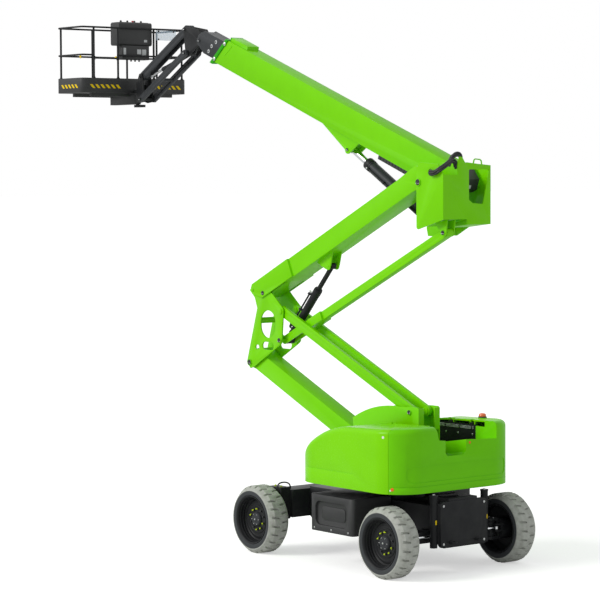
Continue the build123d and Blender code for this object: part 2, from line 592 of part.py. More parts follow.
# ---------------------------------------------------------------- top knuckle and main boom
def top_knuckle():
    """Double-bay box: near bay for the riser, far bay for the main boom and its cylinder."""
    near = outline((-508, -507), (10, -647), (34, -640), (44, -618), (44, 190), (-33, 274), (-407, 243), (-508, 100))
    body = crown.plate(near - Pos(-251, 133) * Circle(50), 182, 197) + crown.plate(near, -197, -182)
    far = outline((-508, -581), (-73, -629), (177, -754), (307, -754), (337, -639), (47, -229), (47, 190), (-33, 271),
                  (-413, 231), (-508, 228))
    body += crown.plate(far, -257, -245) + crown.plate(far, -678, -660)
    rear = Plane(origin=(K1[0] - 508, 0, K1[1]), x_dir=(0, 1, 0), z_dir=(1, 0, 0))
    panel = outline((197, -507), (197, 100), (-75, 100), (-68, 235), (-100, 345), (-150, 345), (-205, 268),
                    (-678, 228), (-678, -581), (-250, -575), (-238, -507))
    window = outline((-276, 172), (-650, 171), (-534, -303), (-343, -289), (-276, -242))
    panel -= fillet(window.vertices(), 20)
    loop = outline((-350, 240), (-368, 305), (-395, 322), (-485, 315), (-515, 295), (-528, 230))
    loop -= outline((-368, 240), (-383, 297), (-398, 306), (-482, 299), (-500, 287), (-511, 230))
    body += extrude(rear * panel, amount=15) + extrude(rear.offset(2) * loop, amount=12)
    body += crown.plate(outline((-508, -482), (44, -612), (44, -600), (-508, -470)), -197, 197)
    body += crown.block(-500, 37, -479, 190, -245, -197)
    body += crown.plate(outline((-508, -581), (-73, -629), (-73, -617), (-508, -569)), -678, -245)
    body += across(*K1, -197, 197, PIN["K1"]) + both_sides(across(*K1, RISER_HALF_W + SIDE_GAP, 182, 70))
    body += across(*K1, 197, 212, PIN["K1"] + 18)
    body += across(*K3, -690, -245, PIN["K3"]) + across(*K4, -690, -245, PIN["K4"])
    foot = (K2[0] - K1[0], K2[1] - K1[1])
    ear = crown.plate(outline((foot[0] - 55, foot[1]), (foot[0] + 55, foot[1]), (-203, -549), (-453, -514)), 62, 80)
    ear += across(*K2, 62, 80, 55) + across(*K2, 80, 92, PIN["K2"] + 14)
    return body + both_sides(ear) + across(*K2, -80, 80, PIN["K2"])


def outer_boom():
    """Tapered-end box section with its slanted collar and the bracket of the lift rod."""
    y0, y1 = BOOM_Y - BOOM_HALF_W, BOOM_Y + BOOM_HALF_W
    side = outline((-60, -120), (120, BOOM_LOW), (5990, BOOM_LOW), (5727, BOOM_HIGH), (60, BOOM_HIGH), (-120, 90),
                   (-120, -60))
    body = boom.plate(side, y0, y1)
    collar = outline((5727 - 50, BOOM_HIGH + 14), (5727 + 8, BOOM_HIGH + 14), (5998 + 22, BOOM_LOW - 40),
                     (5998 - 50, BOOM_LOW - 40))
    body += boom.plate(collar, y0 - 18, y1 + 18)
    body += boom.block(5230, 5690, BOOM_HIGH, BOOM_HIGH + 55, y0 + 40, y1 - 40)
    body -= boom.block(400, 6200, INNER_LOW - 12, INNER_HIGH + 12, BOOM_Y - INNER_HALF_W - 12,
                       BOOM_Y + INNER_HALF_W + 12)
    for s in (1500, 5560):
        pads = boom.block(s, s + 120, INNER_LOW - 14, INNER_HIGH + 14, BOOM_Y - INNER_HALF_W - 14,
                          BOOM_Y + INNER_HALF_W + 14)
        pads -= boom.block(s, s + 120, INNER_LOW - SEAT_GAP, INNER_HIGH + SEAT_GAP,
                           BOOM_Y - INNER_HALF_W - SEAT_GAP, BOOM_Y + INNER_HALF_W + SEAT_GAP)
        body += pads
    body += boom.disc(0, 0, 95, -655, -262)
    body -= boom.disc(0, 0, PIN["K3"] + RUN_GAP, -700, -200)
    s, w = BRACKET_U4
    ear = boom.plate(outline((s - 70, w - 20), (s + 60, w - 20), (3150, BOOM_LOW), (s - 220, BOOM_LOW)),
                     BOOM_Y + 92, BOOM_Y + 112)
    ear += boom.disc(s, w, 62, BOOM_Y + 92, BOOM_Y + 112) + boom.disc(s, w, 24, BOOM_Y + 66, BOOM_Y + 124)
    return body + ear + mirror(ear, Plane(origin=(0, BOOM_Y, 0), z_dir=(0, 1, 0)))


def inner_boom():
    """Sliding section with the fork of the nose."""
    y0, y1 = BOOM_Y - INNER_HALF_W, BOOM_Y + INNER_HALF_W
    n, m = NOSE_PIN
    body = boom.plate(outline((1200, INNER_LOW), (6270, INNER_LOW), (6330, -60), (6330, INNER_HIGH),
                              (1200, INNER_HIGH)), y0, y1)
    body -= boom.block(1180, 6150, INNER_LOW + 10, INNER_HIGH - 10, y0 + 10, y1 - 10)
    cheek = boom.plate(outline((6150, INNER_LOW), (6290, INNER_LOW), (n + 30, m - 70), (n + 70, m),
                               (n + 40, m + 90), (6380, INNER_HIGH), (6150, INNER_HIGH)), y1 - 18, y1)
    body += cheek + mirror(cheek, Plane(origin=(0, BOOM_Y, 0), z_dir=(0, 1, 0)))
    body -= boom.block(6331, 6700, -300, 300, y0 + 18, y1 - 18)
    return body + boom.disc(n, m, PIN["N"], y0 - 12, y1 + 12)


def boom_nose():
    """Levelled bracket that carries the jib's four pins."""
    frame = Link(N, LEVEL)
    j1, j2 = (J1[0] - N[0], J1[1] - N[1]), (J2[0] - N[0], J2[1] - N[1])
    side = outline((-60, -30), (-20, -65), (60, -80), (j2[0] - 40, j2[1] - 50), (j2[0] + 45, j2[1] - 20),
                   (j1[0] + 45, j1[1] + 10), (j1[0] - 10, j1[1] + 45), (60, 180), (-30, 70))
    half = (PLATE_IN, PLATE_OUT - 6)
    body = frame.plate(side, BOOM_Y + half[0] - 0, BOOM_Y + half[1])
    body += mirror(body, Plane(origin=(0, BOOM_Y, 0), z_dir=(0, 1, 0)))
    body += frame.disc(120, 40, 32, BOOM_Y - PLATE_IN, BOOM_Y + PLATE_IN)
    body += frame.disc(0, 0, 58, BOOM_Y - PLATE_IN, BOOM_Y + PLATE_IN)
    body -= frame.disc(0, 0, PIN["N"] + RUN_GAP, BOOM_Y - 200, BOOM_Y + 200)
    body += frame.disc(*j1, PIN["J1"], BOOM_Y - PLATE_OUT - 14, BOOM_Y + PLATE_OUT + 14)
    return body + frame.disc(*j2, PIN["J2"], BOOM_Y - ARM_OUT - 14, BOOM_Y + ARM_OUT + 14)


# ---------------------------------------------------------------- jib and basket
def jib_arms():
    """Pair of lower arms joined by a cross tube."""
    arm = arm_low.plate(Pos(ARM_L / 2, 0) * SlotCenterToCenter(ARM_L, 100), BOOM_Y + ARM_IN, BOOM_Y + ARM_OUT)
    for s, name in ((0, "J2"), (ARM_L, "J4")):
        arm -= arm_low.disc(s, 0, PIN[name] + RUN_GAP, BOOM_Y, BOOM_Y + 200)
    arm += mirror(arm, Plane(origin=(0, BOOM_Y, 0), z_dir=(0, 1, 0)))
    return arm + arm_low.disc(ARM_L * 0.55, -20, 25, BOOM_Y - ARM_IN, BOOM_Y + ARM_IN)


def jib_tie():
    """Upper arm, a channel open below, with the ears of the jib cylinder's rod."""
    arm = arm_high.plate(Pos(ARM_L / 2, 0) * SlotCenterToCenter(ARM_L, 130), BOOM_Y - 65, BOOM_Y + 65)
    arm -= arm_high.block(150, ARM_L - 65, -100, 45, BOOM_Y - 47, BOOM_Y + 47)
    arm -= arm_high.block(ARM_L - 330, ARM_L - 65, -100, 100, BOOM_Y - 47, BOOM_Y + 47)
    s, w = ARM_L + JIB_EAR[0], JIB_EAR[1]
    ear = arm_high.plate(outline((s - 120, -40), (s - 36, w - 20), (s + 30, w - 20), (s + 90, -40)),
                         BOOM_Y + 48, BOOM_Y + 65)
    ear += arm_high.disc(s, w, 14, BOOM_Y + 30, BOOM_Y + 65)
    arm += ear + mirror(ear, Plane(origin=(0, BOOM_Y, 0), z_dir=(0, 1, 0)))
    for s, name in ((0, "J1"), (ARM_L, "J3")):
        arm -= arm_high.disc(s, 0, PIN[name] + RUN_GAP, BOOM_Y - 200, BOOM_Y + 200)
    return arm


def jib_carrier():
    """Levelled end bracket with the upright pin of the basket."""
    frame = Link(J4, LEVEL)
    j3 = (J3[0] - J4[0], J3[1] - J4[1])
    side = outline((-45, 0), (-20, -45), (120, -60), (190, -40), (190, 250), (j3[0] + 40, j3[1] + 40),
                   (j3[0] - 30, j3[1] + 40), (j3[0] - 45, j3[1]))
    body = frame.plate(side, BOOM_Y + PLATE_IN - 6, BOOM_Y + PLATE_OUT - 6)
    body += mirror(body, Plane(origin=(0, BOOM_Y, 0), z_dir=(0, 1, 0)))
    body += frame.block(150, 190, -40, 240, BOOM_Y - PLATE_IN, BOOM_Y + PLATE_IN)
    x = J4[0] + 190
    foot = TRAY_LOW - 232
    for low in (foot, TRAY_LOW + 13):
        body += brick(x - 40, PIVOT_X, BOOM_Y - 60, BOOM_Y + 60, low, low + 40)
        body += upright(PIVOT_X, BOOM_Y, low, low + 40, 60)
    body += upright(PIVOT_X, BOOM_Y, foot, TRAY_LOW + 53, 30)
    body += frame.disc(*j3, PIN["J3"], BOOM_Y - PLATE_OUT - 8, BOOM_Y + PLATE_OUT + 8)
    return body + frame.disc(0, 0, PIN["J4"], BOOM_Y - ARM_OUT - 14, BOOM_Y + ARM_OUT + 14)


def basket_tray():
    """Moulded floor tray on the beam with the sleeve of the upright pin."""
    length, width = BASKET_X1 - BASKET_X0, BASKET_Y1 - BASKET_Y0
    plan = Pos(BASKET_MID_X, BASKET_MID_Y) * RectangleRounded(length, width, TRAY_CORNER)
    inner = Pos(BASKET_MID_X, BASKET_MID_Y) * RectangleRounded(length - 2 * TRAY_WALL, width - 2 * TRAY_WALL,
                                                               TRAY_CORNER - TRAY_WALL)
    tray = extrude(Pos(0, 0, TRAY_LOW) * plan, amount=TRAY_HIGH - TRAY_LOW)
    tray -= extrude(Pos(0, 0, TRAY_LOW + TRAY_FLOOR) * inner, amount=300)
    foot = TRAY_LOW - 182
    tray += brick(PIVOT_X, BASKET_X1 - 120, BOOM_Y - 60, BOOM_Y + 60, foot, TRAY_LOW)
    tray += upright(PIVOT_X, BOOM_Y, foot, TRAY_LOW, 52)
    for x in (BASKET_X0 + 80, BASKET_X1 - 190):
        tray += brick(x, x + 70, BASKET_Y0 + 235, BASKET_Y1 - 235, TRAY_LOW - 57, TRAY_LOW)
    return tray - upright(PIVOT_X, BOOM_Y, foot - 95, TRAY_LOW + 123, 30 + RUN_GAP)


def rail_loop(z, radius):
    """Closed bent tube round the basket at a height."""
    path = Pos(BASKET_MID_X, BASKET_MID_Y, z) * RectangleRounded(
        BASKET_X1 - BASKET_X0 - 2 * RAIL_INSET, BASKET_Y1 - BASKET_Y0 - 2 * RAIL_INSET, TRAY_CORNER - RAIL_INSET)
    start = Plane(origin=(BASKET_MID_X, BASKET_Y0 + RAIL_INSET, z), z_dir=(1, 0, 0))
    return sweep(start * Circle(radius), path=path.wire())


def basket_rails():
    """Bent guard rails on posts that stand on the tray's rim, open at the entry."""
    y0, y1 = BASKET_Y0 + TRAY_CORNER, BASKET_Y1 - TRAY_CORNER
    middle = rail_loop(MID_RAIL_Z, RAIL_R - 2)
    middle -= brick(RAIL_X0 - 60, RAIL_X0 + 60, GATE_Y0 - 30, GATE_Y1 + 30, MID_RAIL_Z - 60, MID_RAIL_Z + 60)
    rails = middle + rail_loop(TOP_RAIL_Z, RAIL_R - 2)
    # post places: side of the basket, y
    for x, y in ((RAIL_X0, y0), (RAIL_X0, -840), (RAIL_X0, GATE_Y0 - 30), (RAIL_X0, GATE_Y1 + 30),
                 (RAIL_X1, y0), (RAIL_X1, -800), (RAIL_X1, -110), (RAIL_X1, y1)):
        rails += upright(x, y, TRAY_HIGH, TOP_RAIL_Z, RAIL_R)
    return rails


def drop_bar():
    """Bar that lifts at the entry, on a guide tube at each side."""
    x = RAIL_X0
    bar = across(x, GATE_Z, GATE_Y0 - 30, GATE_Y1 + 30, 14)
    for y in (GATE_Y0 - 30, GATE_Y1 + 30):
        bar += upright(x, y, GATE_Z - 30, GATE_Z + 30, RAIL_R + 8)
    for y, way in ((GATE_Y0 - 30, -1), (GATE_Y1 + 30, 1)):
        bar -= upright(x, y, GATE_Z - 60, GATE_Z + 60, RAIL_R + SEAT_GAP)
        bar -= brick(x - 60, x + 60, min(y, y + way * 60), max(y, y + way * 60), GATE_Z - 60, GATE_Z + 60)
    return bar


def control_console():
    face = RAIL_X0 + RAIL_R - 2 + SEAT_GAP
    middle = TOP_RAIL_Z - 280
    hood_block = brick(face, face + 250, CONSOLE_Y0, CONSOLE_Y1, middle, TOP_RAIL_Z + 100)
    foot = brick(face, face + 170, CONSOLE_Y0 + 58, CONSOLE_Y1 - 65, middle - 230, middle)
    return fillet(hood_block.edges().filter_by(Axis.Y), 40) + foot


def side_screen():
    top = TOP_RAIL_Z - RAIL_R + 2 - SEAT_GAP
    return brick(RAIL_X0 - 3, RAIL_X0 + 3, SCREEN_Y0, SCREEN_Y1, TOP_RAIL_Z - 180, top)


# ---------------------------------------------------------------- build
def main():
    save("chassis_frame", chassis_frame())
    save("end_guard", end_guard())
    save("steer_axle", steer_axle())
    save("steer_cylinder", steer_cylinder())
    save("steer_rod", steer_rod())
    knuckle = steer_knuckle()
    save("steer_knuckle_left", knuckle)
    save("steer_knuckle_right", mirror(knuckle, Plane.XZ))
    save("drive_axle", drive_axle())
    pod = side_pod()
    save("side_pod_left", pod)
    save("side_pod_right", mirror(pod, Plane.XZ))
    save("slew_ring", slew_ring())
    one_tyre, one_rim = tyre(), rim()
    for name, x, side in (("steer_left", AXLE_X, 1), ("steer_right", AXLE_X, -1),
                          ("drive_left", DRIVE_X, 1), ("drive_right", DRIVE_X, -1)):
        for kind, solid in (("tyre", one_tyre), ("rim", one_rim)):
            turned = solid if side > 0 else mirror(solid, Plane.XZ)
            save(kind + "_" + name, Pos(x, side * WHEEL_Y, TYRE_R) * turned)
    save("turret_deck", turret_deck())
    save("turret_mast", turret_mast())
    save("counterweight", counterweight())
    save("power_pack", brick(TAIL_IN_X + 15, 250, -690, -300, DECK_TOP, 1560))
    save("fluid_tank", brick(-1350, -100, 380, 1000, DECK_TOP, 1650))
    save("beacon", beacon())
    save("hood_left", hood(HOOD_LEFT_Y, 1300))
    save("hood_right", hood(-1300, HOOD_RIGHT_Y))
    save("lower_boom", lower_boom())
    save("lower_ties", lower_ties())
    save("mid_knuckle", mid_knuckle())
    save("upper_riser", upper_riser())
    save("upper_tie", upper_tie())
    save("top_knuckle", top_knuckle())
    for name, start, end, sizes in (
            # barrel length, barrel r, rod r, eye r, eye half width, base pin r, y, base half width,
            # inner end of the rod
            ("riser_cylinder", P4, U5, (1050, 60, 35, 45, 40, PIN["P4"], 0, 60, 440)),
            ("lift_cylinder", K4, U4, (1850, 85, 50, 55, 50, PIN["K4"], BOOM_Y, 80, 440)),
            ("jib_cylinder", J2, J5, (830, 34, 20, 26, 24, PIN["J2"], BOOM_Y, 40, 320))):
        reach = (end[0] - start[0], end[1] - start[1])
        barrel, bar = barrel_and_rod(Link(start, reach), math.hypot(*reach), *sizes)
        save(name + "_barrel", barrel)
        save(name + "_rod", bar)
    save("outer_boom", outer_boom())
    save("inner_boom", inner_boom())
    save("boom_nose", boom_nose())
    save("jib_arms", jib_arms())
    save("jib_tie", jib_tie())
    save("jib_carrier", jib_carrier())
    save("basket_tray", basket_tray())
    save("basket_rails", basket_rails())
    save("drop_bar", drop_bar())
    save("control_console", control_console())
    save("side_screen", side_screen())


main()
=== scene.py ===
"""Articulating boom lift: finishes, wheel trim, pins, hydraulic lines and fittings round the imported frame.

Lengths are in metres unless a name ends in _mm. +X runs along the booms towards the basket, +Y to the
left of that and +Z up. Places come from the frame nodes' boxes and the record's joints where those give
them, and are typed in the same frame otherwise.
"""
from __future__ import annotations

import json
import logging
import math
from dataclasses import dataclass
from enum import Enum
from typing import Any, Iterable, Optional, Sequence

import bmesh
import bpy
from mathutils import Matrix, Vector


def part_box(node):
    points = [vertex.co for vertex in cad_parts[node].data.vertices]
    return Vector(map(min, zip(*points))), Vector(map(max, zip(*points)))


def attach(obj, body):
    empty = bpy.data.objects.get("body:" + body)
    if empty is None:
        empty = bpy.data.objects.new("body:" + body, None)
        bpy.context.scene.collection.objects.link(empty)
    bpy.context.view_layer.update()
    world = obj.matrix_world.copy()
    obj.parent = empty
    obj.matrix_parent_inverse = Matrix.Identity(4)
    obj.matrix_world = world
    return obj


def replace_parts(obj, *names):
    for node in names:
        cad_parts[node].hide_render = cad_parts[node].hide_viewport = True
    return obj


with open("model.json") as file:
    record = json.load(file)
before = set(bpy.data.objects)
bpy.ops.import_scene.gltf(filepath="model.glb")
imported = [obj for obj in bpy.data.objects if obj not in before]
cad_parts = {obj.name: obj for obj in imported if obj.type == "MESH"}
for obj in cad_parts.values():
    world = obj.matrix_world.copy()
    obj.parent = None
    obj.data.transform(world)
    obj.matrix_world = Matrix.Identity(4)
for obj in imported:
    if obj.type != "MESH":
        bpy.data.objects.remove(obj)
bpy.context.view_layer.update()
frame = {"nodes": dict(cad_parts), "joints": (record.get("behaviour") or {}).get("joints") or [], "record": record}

LOG = logging.getLogger("boom_lift")
MM = 0.001
UP = Vector((0, 0, 1))
ACROSS = Vector((0, 1, 0))
ALONG = Vector((1, 0, 0))
BOOM_Y = -0.45          # middle plane of the main boom and the jib
SIDES = ((1, "left"), (-1, "right"))
JOINTS = {joint["name"]: joint for joint in frame["joints"]}


class Slot(Enum):
    """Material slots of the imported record."""

    GREEN_PAINT = "green_paint"
    GREEN_SHELL = "green_shell"
    BLACK_PAINT = "black_paint"
    BLACK_PLASTIC = "black_plastic"
    GREY_TYRE = "grey_tyre"
    CAST_WEIGHT = "cast_weight"
    CHROME_ROD = "chrome_rod"
    AMBER = "amber"
    CLEAR_SHEET = "clear_sheet"


# ---------------------------------------------------------------- node and colour helpers
def linear(hex_colour: str) -> tuple[float, float, float, float]:
    """Turns an sRGB hex colour to linear RGBA.

    Args:
        hex_colour: colour such as "#80D800".

    Returns:
        The linear colour with full alpha.
    """
    parts = [int(hex_colour[i:i + 2], 16) / 255 for i in (1, 3, 5)]
    low, high = [c / 12.92 for c in parts], [((c + 0.055) / 1.055) ** 2.4 for c in parts]
    return tuple(a if c <= 0.04045 else b for c, a, b in zip(parts, low, high)) + (1.0,)


def add_node(tree: bpy.types.NodeTree, kind: str, settings: Optional[dict[Any, Any]] = None,
             links: Optional[dict[Any, tuple[bpy.types.Node, Any]]] = None) -> bpy.types.Node:
    """Adds one node to a tree.

    Args:
        tree: the node tree.
        kind: the node's type, such as "ShaderNodeMix".
        settings: a node's property or an input's name or number, with its value.
        links: an input's name or number, with the node and output that feed it.

    Returns:
        The new node.
    """
    node = tree.nodes.new(kind)
    for key, value in (settings or {}).items():
        if isinstance(key, str) and key in node.bl_rna.properties:
            setattr(node, key, value)
        else:
            node.inputs[key].default_value = value
    for key, (source, output) in (links or {}).items():
        tree.links.new(source.outputs[output], node.inputs[key])
    return node


def empty_material(name: str) -> bpy.types.Material:
    """A new material whose tree holds no nodes yet."""
    made = bpy.data.materials.new(name)
    made.use_nodes = True
    made.node_tree.nodes.clear()
    return made


def place_object(name: str, data: bpy.types.ID) -> bpy.types.Object:
    """Puts a mesh, curve, lamp or camera in the scene as an object."""
    placed = bpy.data.objects.new(name, data)
    bpy.context.scene.collection.objects.link(placed)
    return placed


# ---------------------------------------------------------------- finishes
@dataclass(frozen=True)
class Finish:
    """Finish of two tones in soft patches, with a fine grain in the surface.

    The patches give a broad surface the slight unevenness of handled paint, and the grain breaks up
    its reflections.
    """

    name: str
    colour: str
    patch: str
    roughness: float
    patch_mm: float = 300.0
    patch_share: float = 0.5
    grain_mm: float = 6.0
    grain_depth_mm: float = 0.05
    roughness_spread: float = 0.06
    metallic: float = 0.0
    ior: float = 1.5

    def base_colour(self, tree: bpy.types.NodeTree, place: bpy.types.Node) -> tuple[bpy.types.Node, Any]:
        """Colour of the surface.

        Args:
            tree: the material's tree.
            place: the node that gives Object coordinates.

        Returns:
            The node and output of the colour.
        """
        patches = add_node(tree, "ShaderNodeTexNoise", {"Scale": 1000 / self.patch_mm, "Detail": 4.0,
                                                        "Roughness": 0.6}, {"Vector": (place, "Object")})
        share = add_node(tree, "ShaderNodeMapRange", {"From Min": 0.42, "From Max": 0.68, "To Min": 0.0,
                                                      "To Max": self.patch_share},
                         {"Value": (patches, "Fac")})
        mix = add_node(tree, "ShaderNodeMix", {"data_type": "RGBA", 6: linear(self.colour),
                                               7: linear(self.patch)}, {0: (share, "Result")})
        return mix, 2

    def material(self) -> bpy.types.Material:
        """The finish as a material, made once."""
        known = bpy.data.materials.get(self.name)
        if known:
            return known
        made = empty_material(self.name)
        tree = made.node_tree
        place = add_node(tree, "ShaderNodeTexCoord")
        colour = self.base_colour(tree, place)
        grain = add_node(tree, "ShaderNodeTexNoise", {"Scale": 1000 / self.grain_mm, "Detail": 2.0},
                         {"Vector": (place, "Object")})
        rough = add_node(tree, "ShaderNodeMapRange", {"To Min": self.roughness - self.roughness_spread,
                                                      "To Max": self.roughness + self.roughness_spread},
                         {"Value": (grain, "Fac")})
        bump = add_node(tree, "ShaderNodeBump", {"Strength": 1.0, "Distance": self.grain_depth_mm * MM},
                        {"Height": (grain, "Fac")})
        shader = add_node(tree, "ShaderNodeBsdfPrincipled",
                          {"Metallic": self.metallic, "IOR": self.ior},
                          {"Base Color": colour, "Roughness": (rough, "Result"), "Normal": (bump, "Normal")})
        add_node(tree, "ShaderNodeOutputMaterial", None, {"Surface": (shader, "BSDF")})
        made.diffuse_color = linear(self.colour)
        return made


@dataclass(frozen=True)
class EnamelPaint(Finish):
    """Two-pack enamel sprayed on steel: even colour, clear gloss and a faint orange peel."""

    roughness: float = 0.32
    grain_mm: float = 9.0
    grain_depth_mm: float = 0.03
    patch_share: float = 0.35
    ior: float = 1.24


@dataclass(frozen=True)
class CollarEnamel(EnamelPaint):
    """Enamel of the main boom, which turns to the deeper green of its collar past a slanted line."""

    collar: str = "#2FA408"
    slope: tuple[float, float] = (0.937, 0.350)   # direction of the boom in X and Z
    start: tuple[float, float] = (-1.27, 5.32)    # root pin of the boom in X and Z
    lean: float = 0.572                           # how far the collar's edge leans back along the boom
    line: float = 5.802                           # s + lean * w on the collar's rear edge

    def base_colour(self, tree: bpy.types.NodeTree, place: bpy.types.Node) -> tuple[bpy.types.Node, Any]:
        """Colour of the boom, deeper past the collar's rear edge."""
        plain = super().base_colour(tree, place)
        cos, sin = self.slope
        weights = (cos - self.lean * sin, 0.0, sin + self.lean * cos)
        offset = self.start[0] * weights[0] + self.start[1] * weights[2]
        reach = add_node(tree, "ShaderNodeVectorMath", {"operation": "DOT_PRODUCT", 1: weights},
                         {0: (place, "Object")})
        past = add_node(tree, "ShaderNodeMath", {"operation": "GREATER_THAN", 1: self.line + offset},
                        {0: (reach, "Value")})
        mix = add_node(tree, "ShaderNodeMix", {"data_type": "RGBA", 7: linear(self.collar)},
                       {0: (past, 0), 6: plain})
        return mix, 2


@dataclass(frozen=True)
class MouldedPlastic(Finish):
    """Rotation-moulded polyethylene: a soft sheen over a leathery grain about 2 mm wide."""

    roughness: float = 0.5
    grain_mm: float = 4.0
    grain_depth_mm: float = 0.18
    roughness_spread: float = 0.1


@dataclass(frozen=True)
class TyreRubber(Finish):
    """Non-marking rubber: pale tread with dust in it and a charcoal band on each sidewall.

    The band is told by the distance from the axle, and all four axles lie at the same distances from
    the middle planes, so one material serves them.
    """

    band: str = "#34373A"
    band_to: float = 0.416
    band_blur: float = 0.004
    axle_x: float = 1.425
    axle_z: float = 0.4875

    def base_colour(self, tree: bpy.types.NodeTree, place: bpy.types.Node) -> tuple[bpy.types.Node, Any]:
        """Colour of the tread, darker inside the band's outer radius."""
        plain = super().base_colour(tree, place)
        fold = add_node(tree, "ShaderNodeVectorMath", {"operation": "ABSOLUTE"}, {0: (place, "Object")})
        centred = add_node(tree, "ShaderNodeVectorMath",
                           {"operation": "SUBTRACT", 1: (self.axle_x, 0.0, self.axle_z)}, {0: (fold, "Vector")})
        flat = add_node(tree, "ShaderNodeVectorMath", {"operation": "MULTIPLY", 1: (1.0, 0.0, 1.0)},
                        {0: (centred, "Vector")})
        radius = add_node(tree, "ShaderNodeVectorMath", {"operation": "LENGTH"}, {0: (flat, "Vector")})
        band = add_node(tree, "ShaderNodeMapRange",
                        {"From Min": self.band_to - self.band_blur, "From Max": self.band_to + self.band_blur,
                         "To Min": 1.0, "To Max": 0.0}, {"Value": (radius, "Value")})
        mix = add_node(tree, "ShaderNodeMix", {"data_type": "RGBA", 7: linear(self.band)},
                       {0: (band, "Result"), 6: plain})
        return mix, 2


@dataclass(frozen=True)
class BareMetal(Finish):
    """Plated or ground steel: metallic, with fine scratches that spread its highlights."""

    roughness: float = 0.25
    metallic: float = 1.0
    grain_mm: float = 2.5
    grain_depth_mm: float = 0.02
    patch_mm: float = 60.0


@dataclass(frozen=True)
class ClearPlastic:
    """Polycarbonate or tinted acrylic: part of the light passes straight through."""

    name: str
    colour: str
    passes: float
    roughness: float = 0.06
    glow: float = 0.0

    def material(self) -> bpy.types.Material:
        """The finish as a material, made once."""
        known = bpy.data.materials.get(self.name)
        if known:
            return known
        made = empty_material(self.name)
        tree = made.node_tree
        place = add_node(tree, "ShaderNodeTexCoord")
        haze = add_node(tree, "ShaderNodeTexNoise", {"Scale": 40.0}, {"Vector": (place, "Object")})
        rough = add_node(tree, "ShaderNodeMapRange",
                         {"To Min": self.roughness, "To Max": self.roughness + 0.05}, {"Value": (haze, "Fac")})
        shader = add_node(tree, "ShaderNodeBsdfPrincipled",
                          {"Base Color": linear(self.colour), "IOR": 1.58, "Alpha": 1 - self.passes,
                           "Emission Color": linear(self.colour), "Emission Strength": self.glow},
                          {"Roughness": (rough, "Result")})
        add_node(tree, "ShaderNodeOutputMaterial", None, {"Surface": (shader, "BSDF")})
        made.diffuse_color = linear(self.colour)[:3] + (1 - self.passes,)
        return made


LIME = EnamelPaint("lime_enamel", "#7AD800", "#74CE00")
LIME_BOOM = CollarEnamel("lime_boom_enamel", "#7AD800", "#74CE00")
LIME_SHELL = EnamelPaint("lime_gelcoat_shell", "#80DA00", "#78D000", roughness=0.26, grain_mm=14.0)
LIME_CAST = EnamelPaint("lime_enamel_on_casting", "#70D000", "#68C400", roughness=0.36, grain_mm=5.0,
                        grain_depth_mm=0.12)
BLACK_STEEL = EnamelPaint("black_powder_coat", "#232426", "#2E2F30", roughness=0.42, grain_mm=5.0,
                          grain_depth_mm=0.08, patch_share=0.8)
CHARCOAL_STEEL = EnamelPaint("charcoal_enamel", "#37393C", "#424548", roughness=0.38)
BLACK_MOULD = MouldedPlastic("black_moulded_polyethylene", "#242526", "#303132", roughness=0.52)
HOSE_RUBBER = MouldedPlastic("hose_rubber", "#1B1B1D", "#29292B", roughness=0.45, grain_mm=3.0)
CHARCOAL_HOSE = MouldedPlastic("charcoal_hose_sleeve", "#3A3C3E", "#4A4C4E", roughness=0.5, grain_mm=3.0)
PALE_RUBBER = TyreRubber("grey_tyre_rubber", "#B4B6B0", "#9B9C95", roughness=0.85, patch_mm=70.0,
                         patch_share=0.8, grain_mm=5.0, grain_depth_mm=0.5)
CHROME = BareMetal("hard_chrome", "#E4E6E8", "#D6D9DC", roughness=0.12)
ZINC = BareMetal("zinc_plate", "#C9CBCB", "#A9ABAA", roughness=0.35)
DARK_PIN = BareMetal("phosphated_pin_steel", "#4A4B4D", "#37383A", roughness=0.45)
HAZARD_YELLOW = EnamelPaint("yellow_vinyl", "#F2CF12", "#E3BE14", roughness=0.45)
TAG_YELLOW = EnamelPaint("yellow_green_cap", "#CDE32A", "#B9D022", roughness=0.45)
PALE_LABEL = EnamelPaint("pale_grey_vinyl", "#C4C6C8", "#B2B4B6", roughness=0.5)
MARKER_ORANGE = EnamelPaint("orange_marker", "#F2762A", "#E2661F", roughness=0.4)
MARKER_WHITE = EnamelPaint("white_marker", "#F2F2EE", "#E4E4DF", roughness=0.4)
SIGNAL_RED = EnamelPaint("red_mushroom_button", "#C4161C", "#B01318", roughness=0.35)
AMBER_LENS = ClearPlastic("amber_lens", "#E2641A", passes=0.12, roughness=0.15, glow=0.15)
CLEAR_SHEET = ClearPlastic("clear_polycarbonate", "#C9DCEE", passes=0.62)
AnyFinish = Finish | ClearPlastic


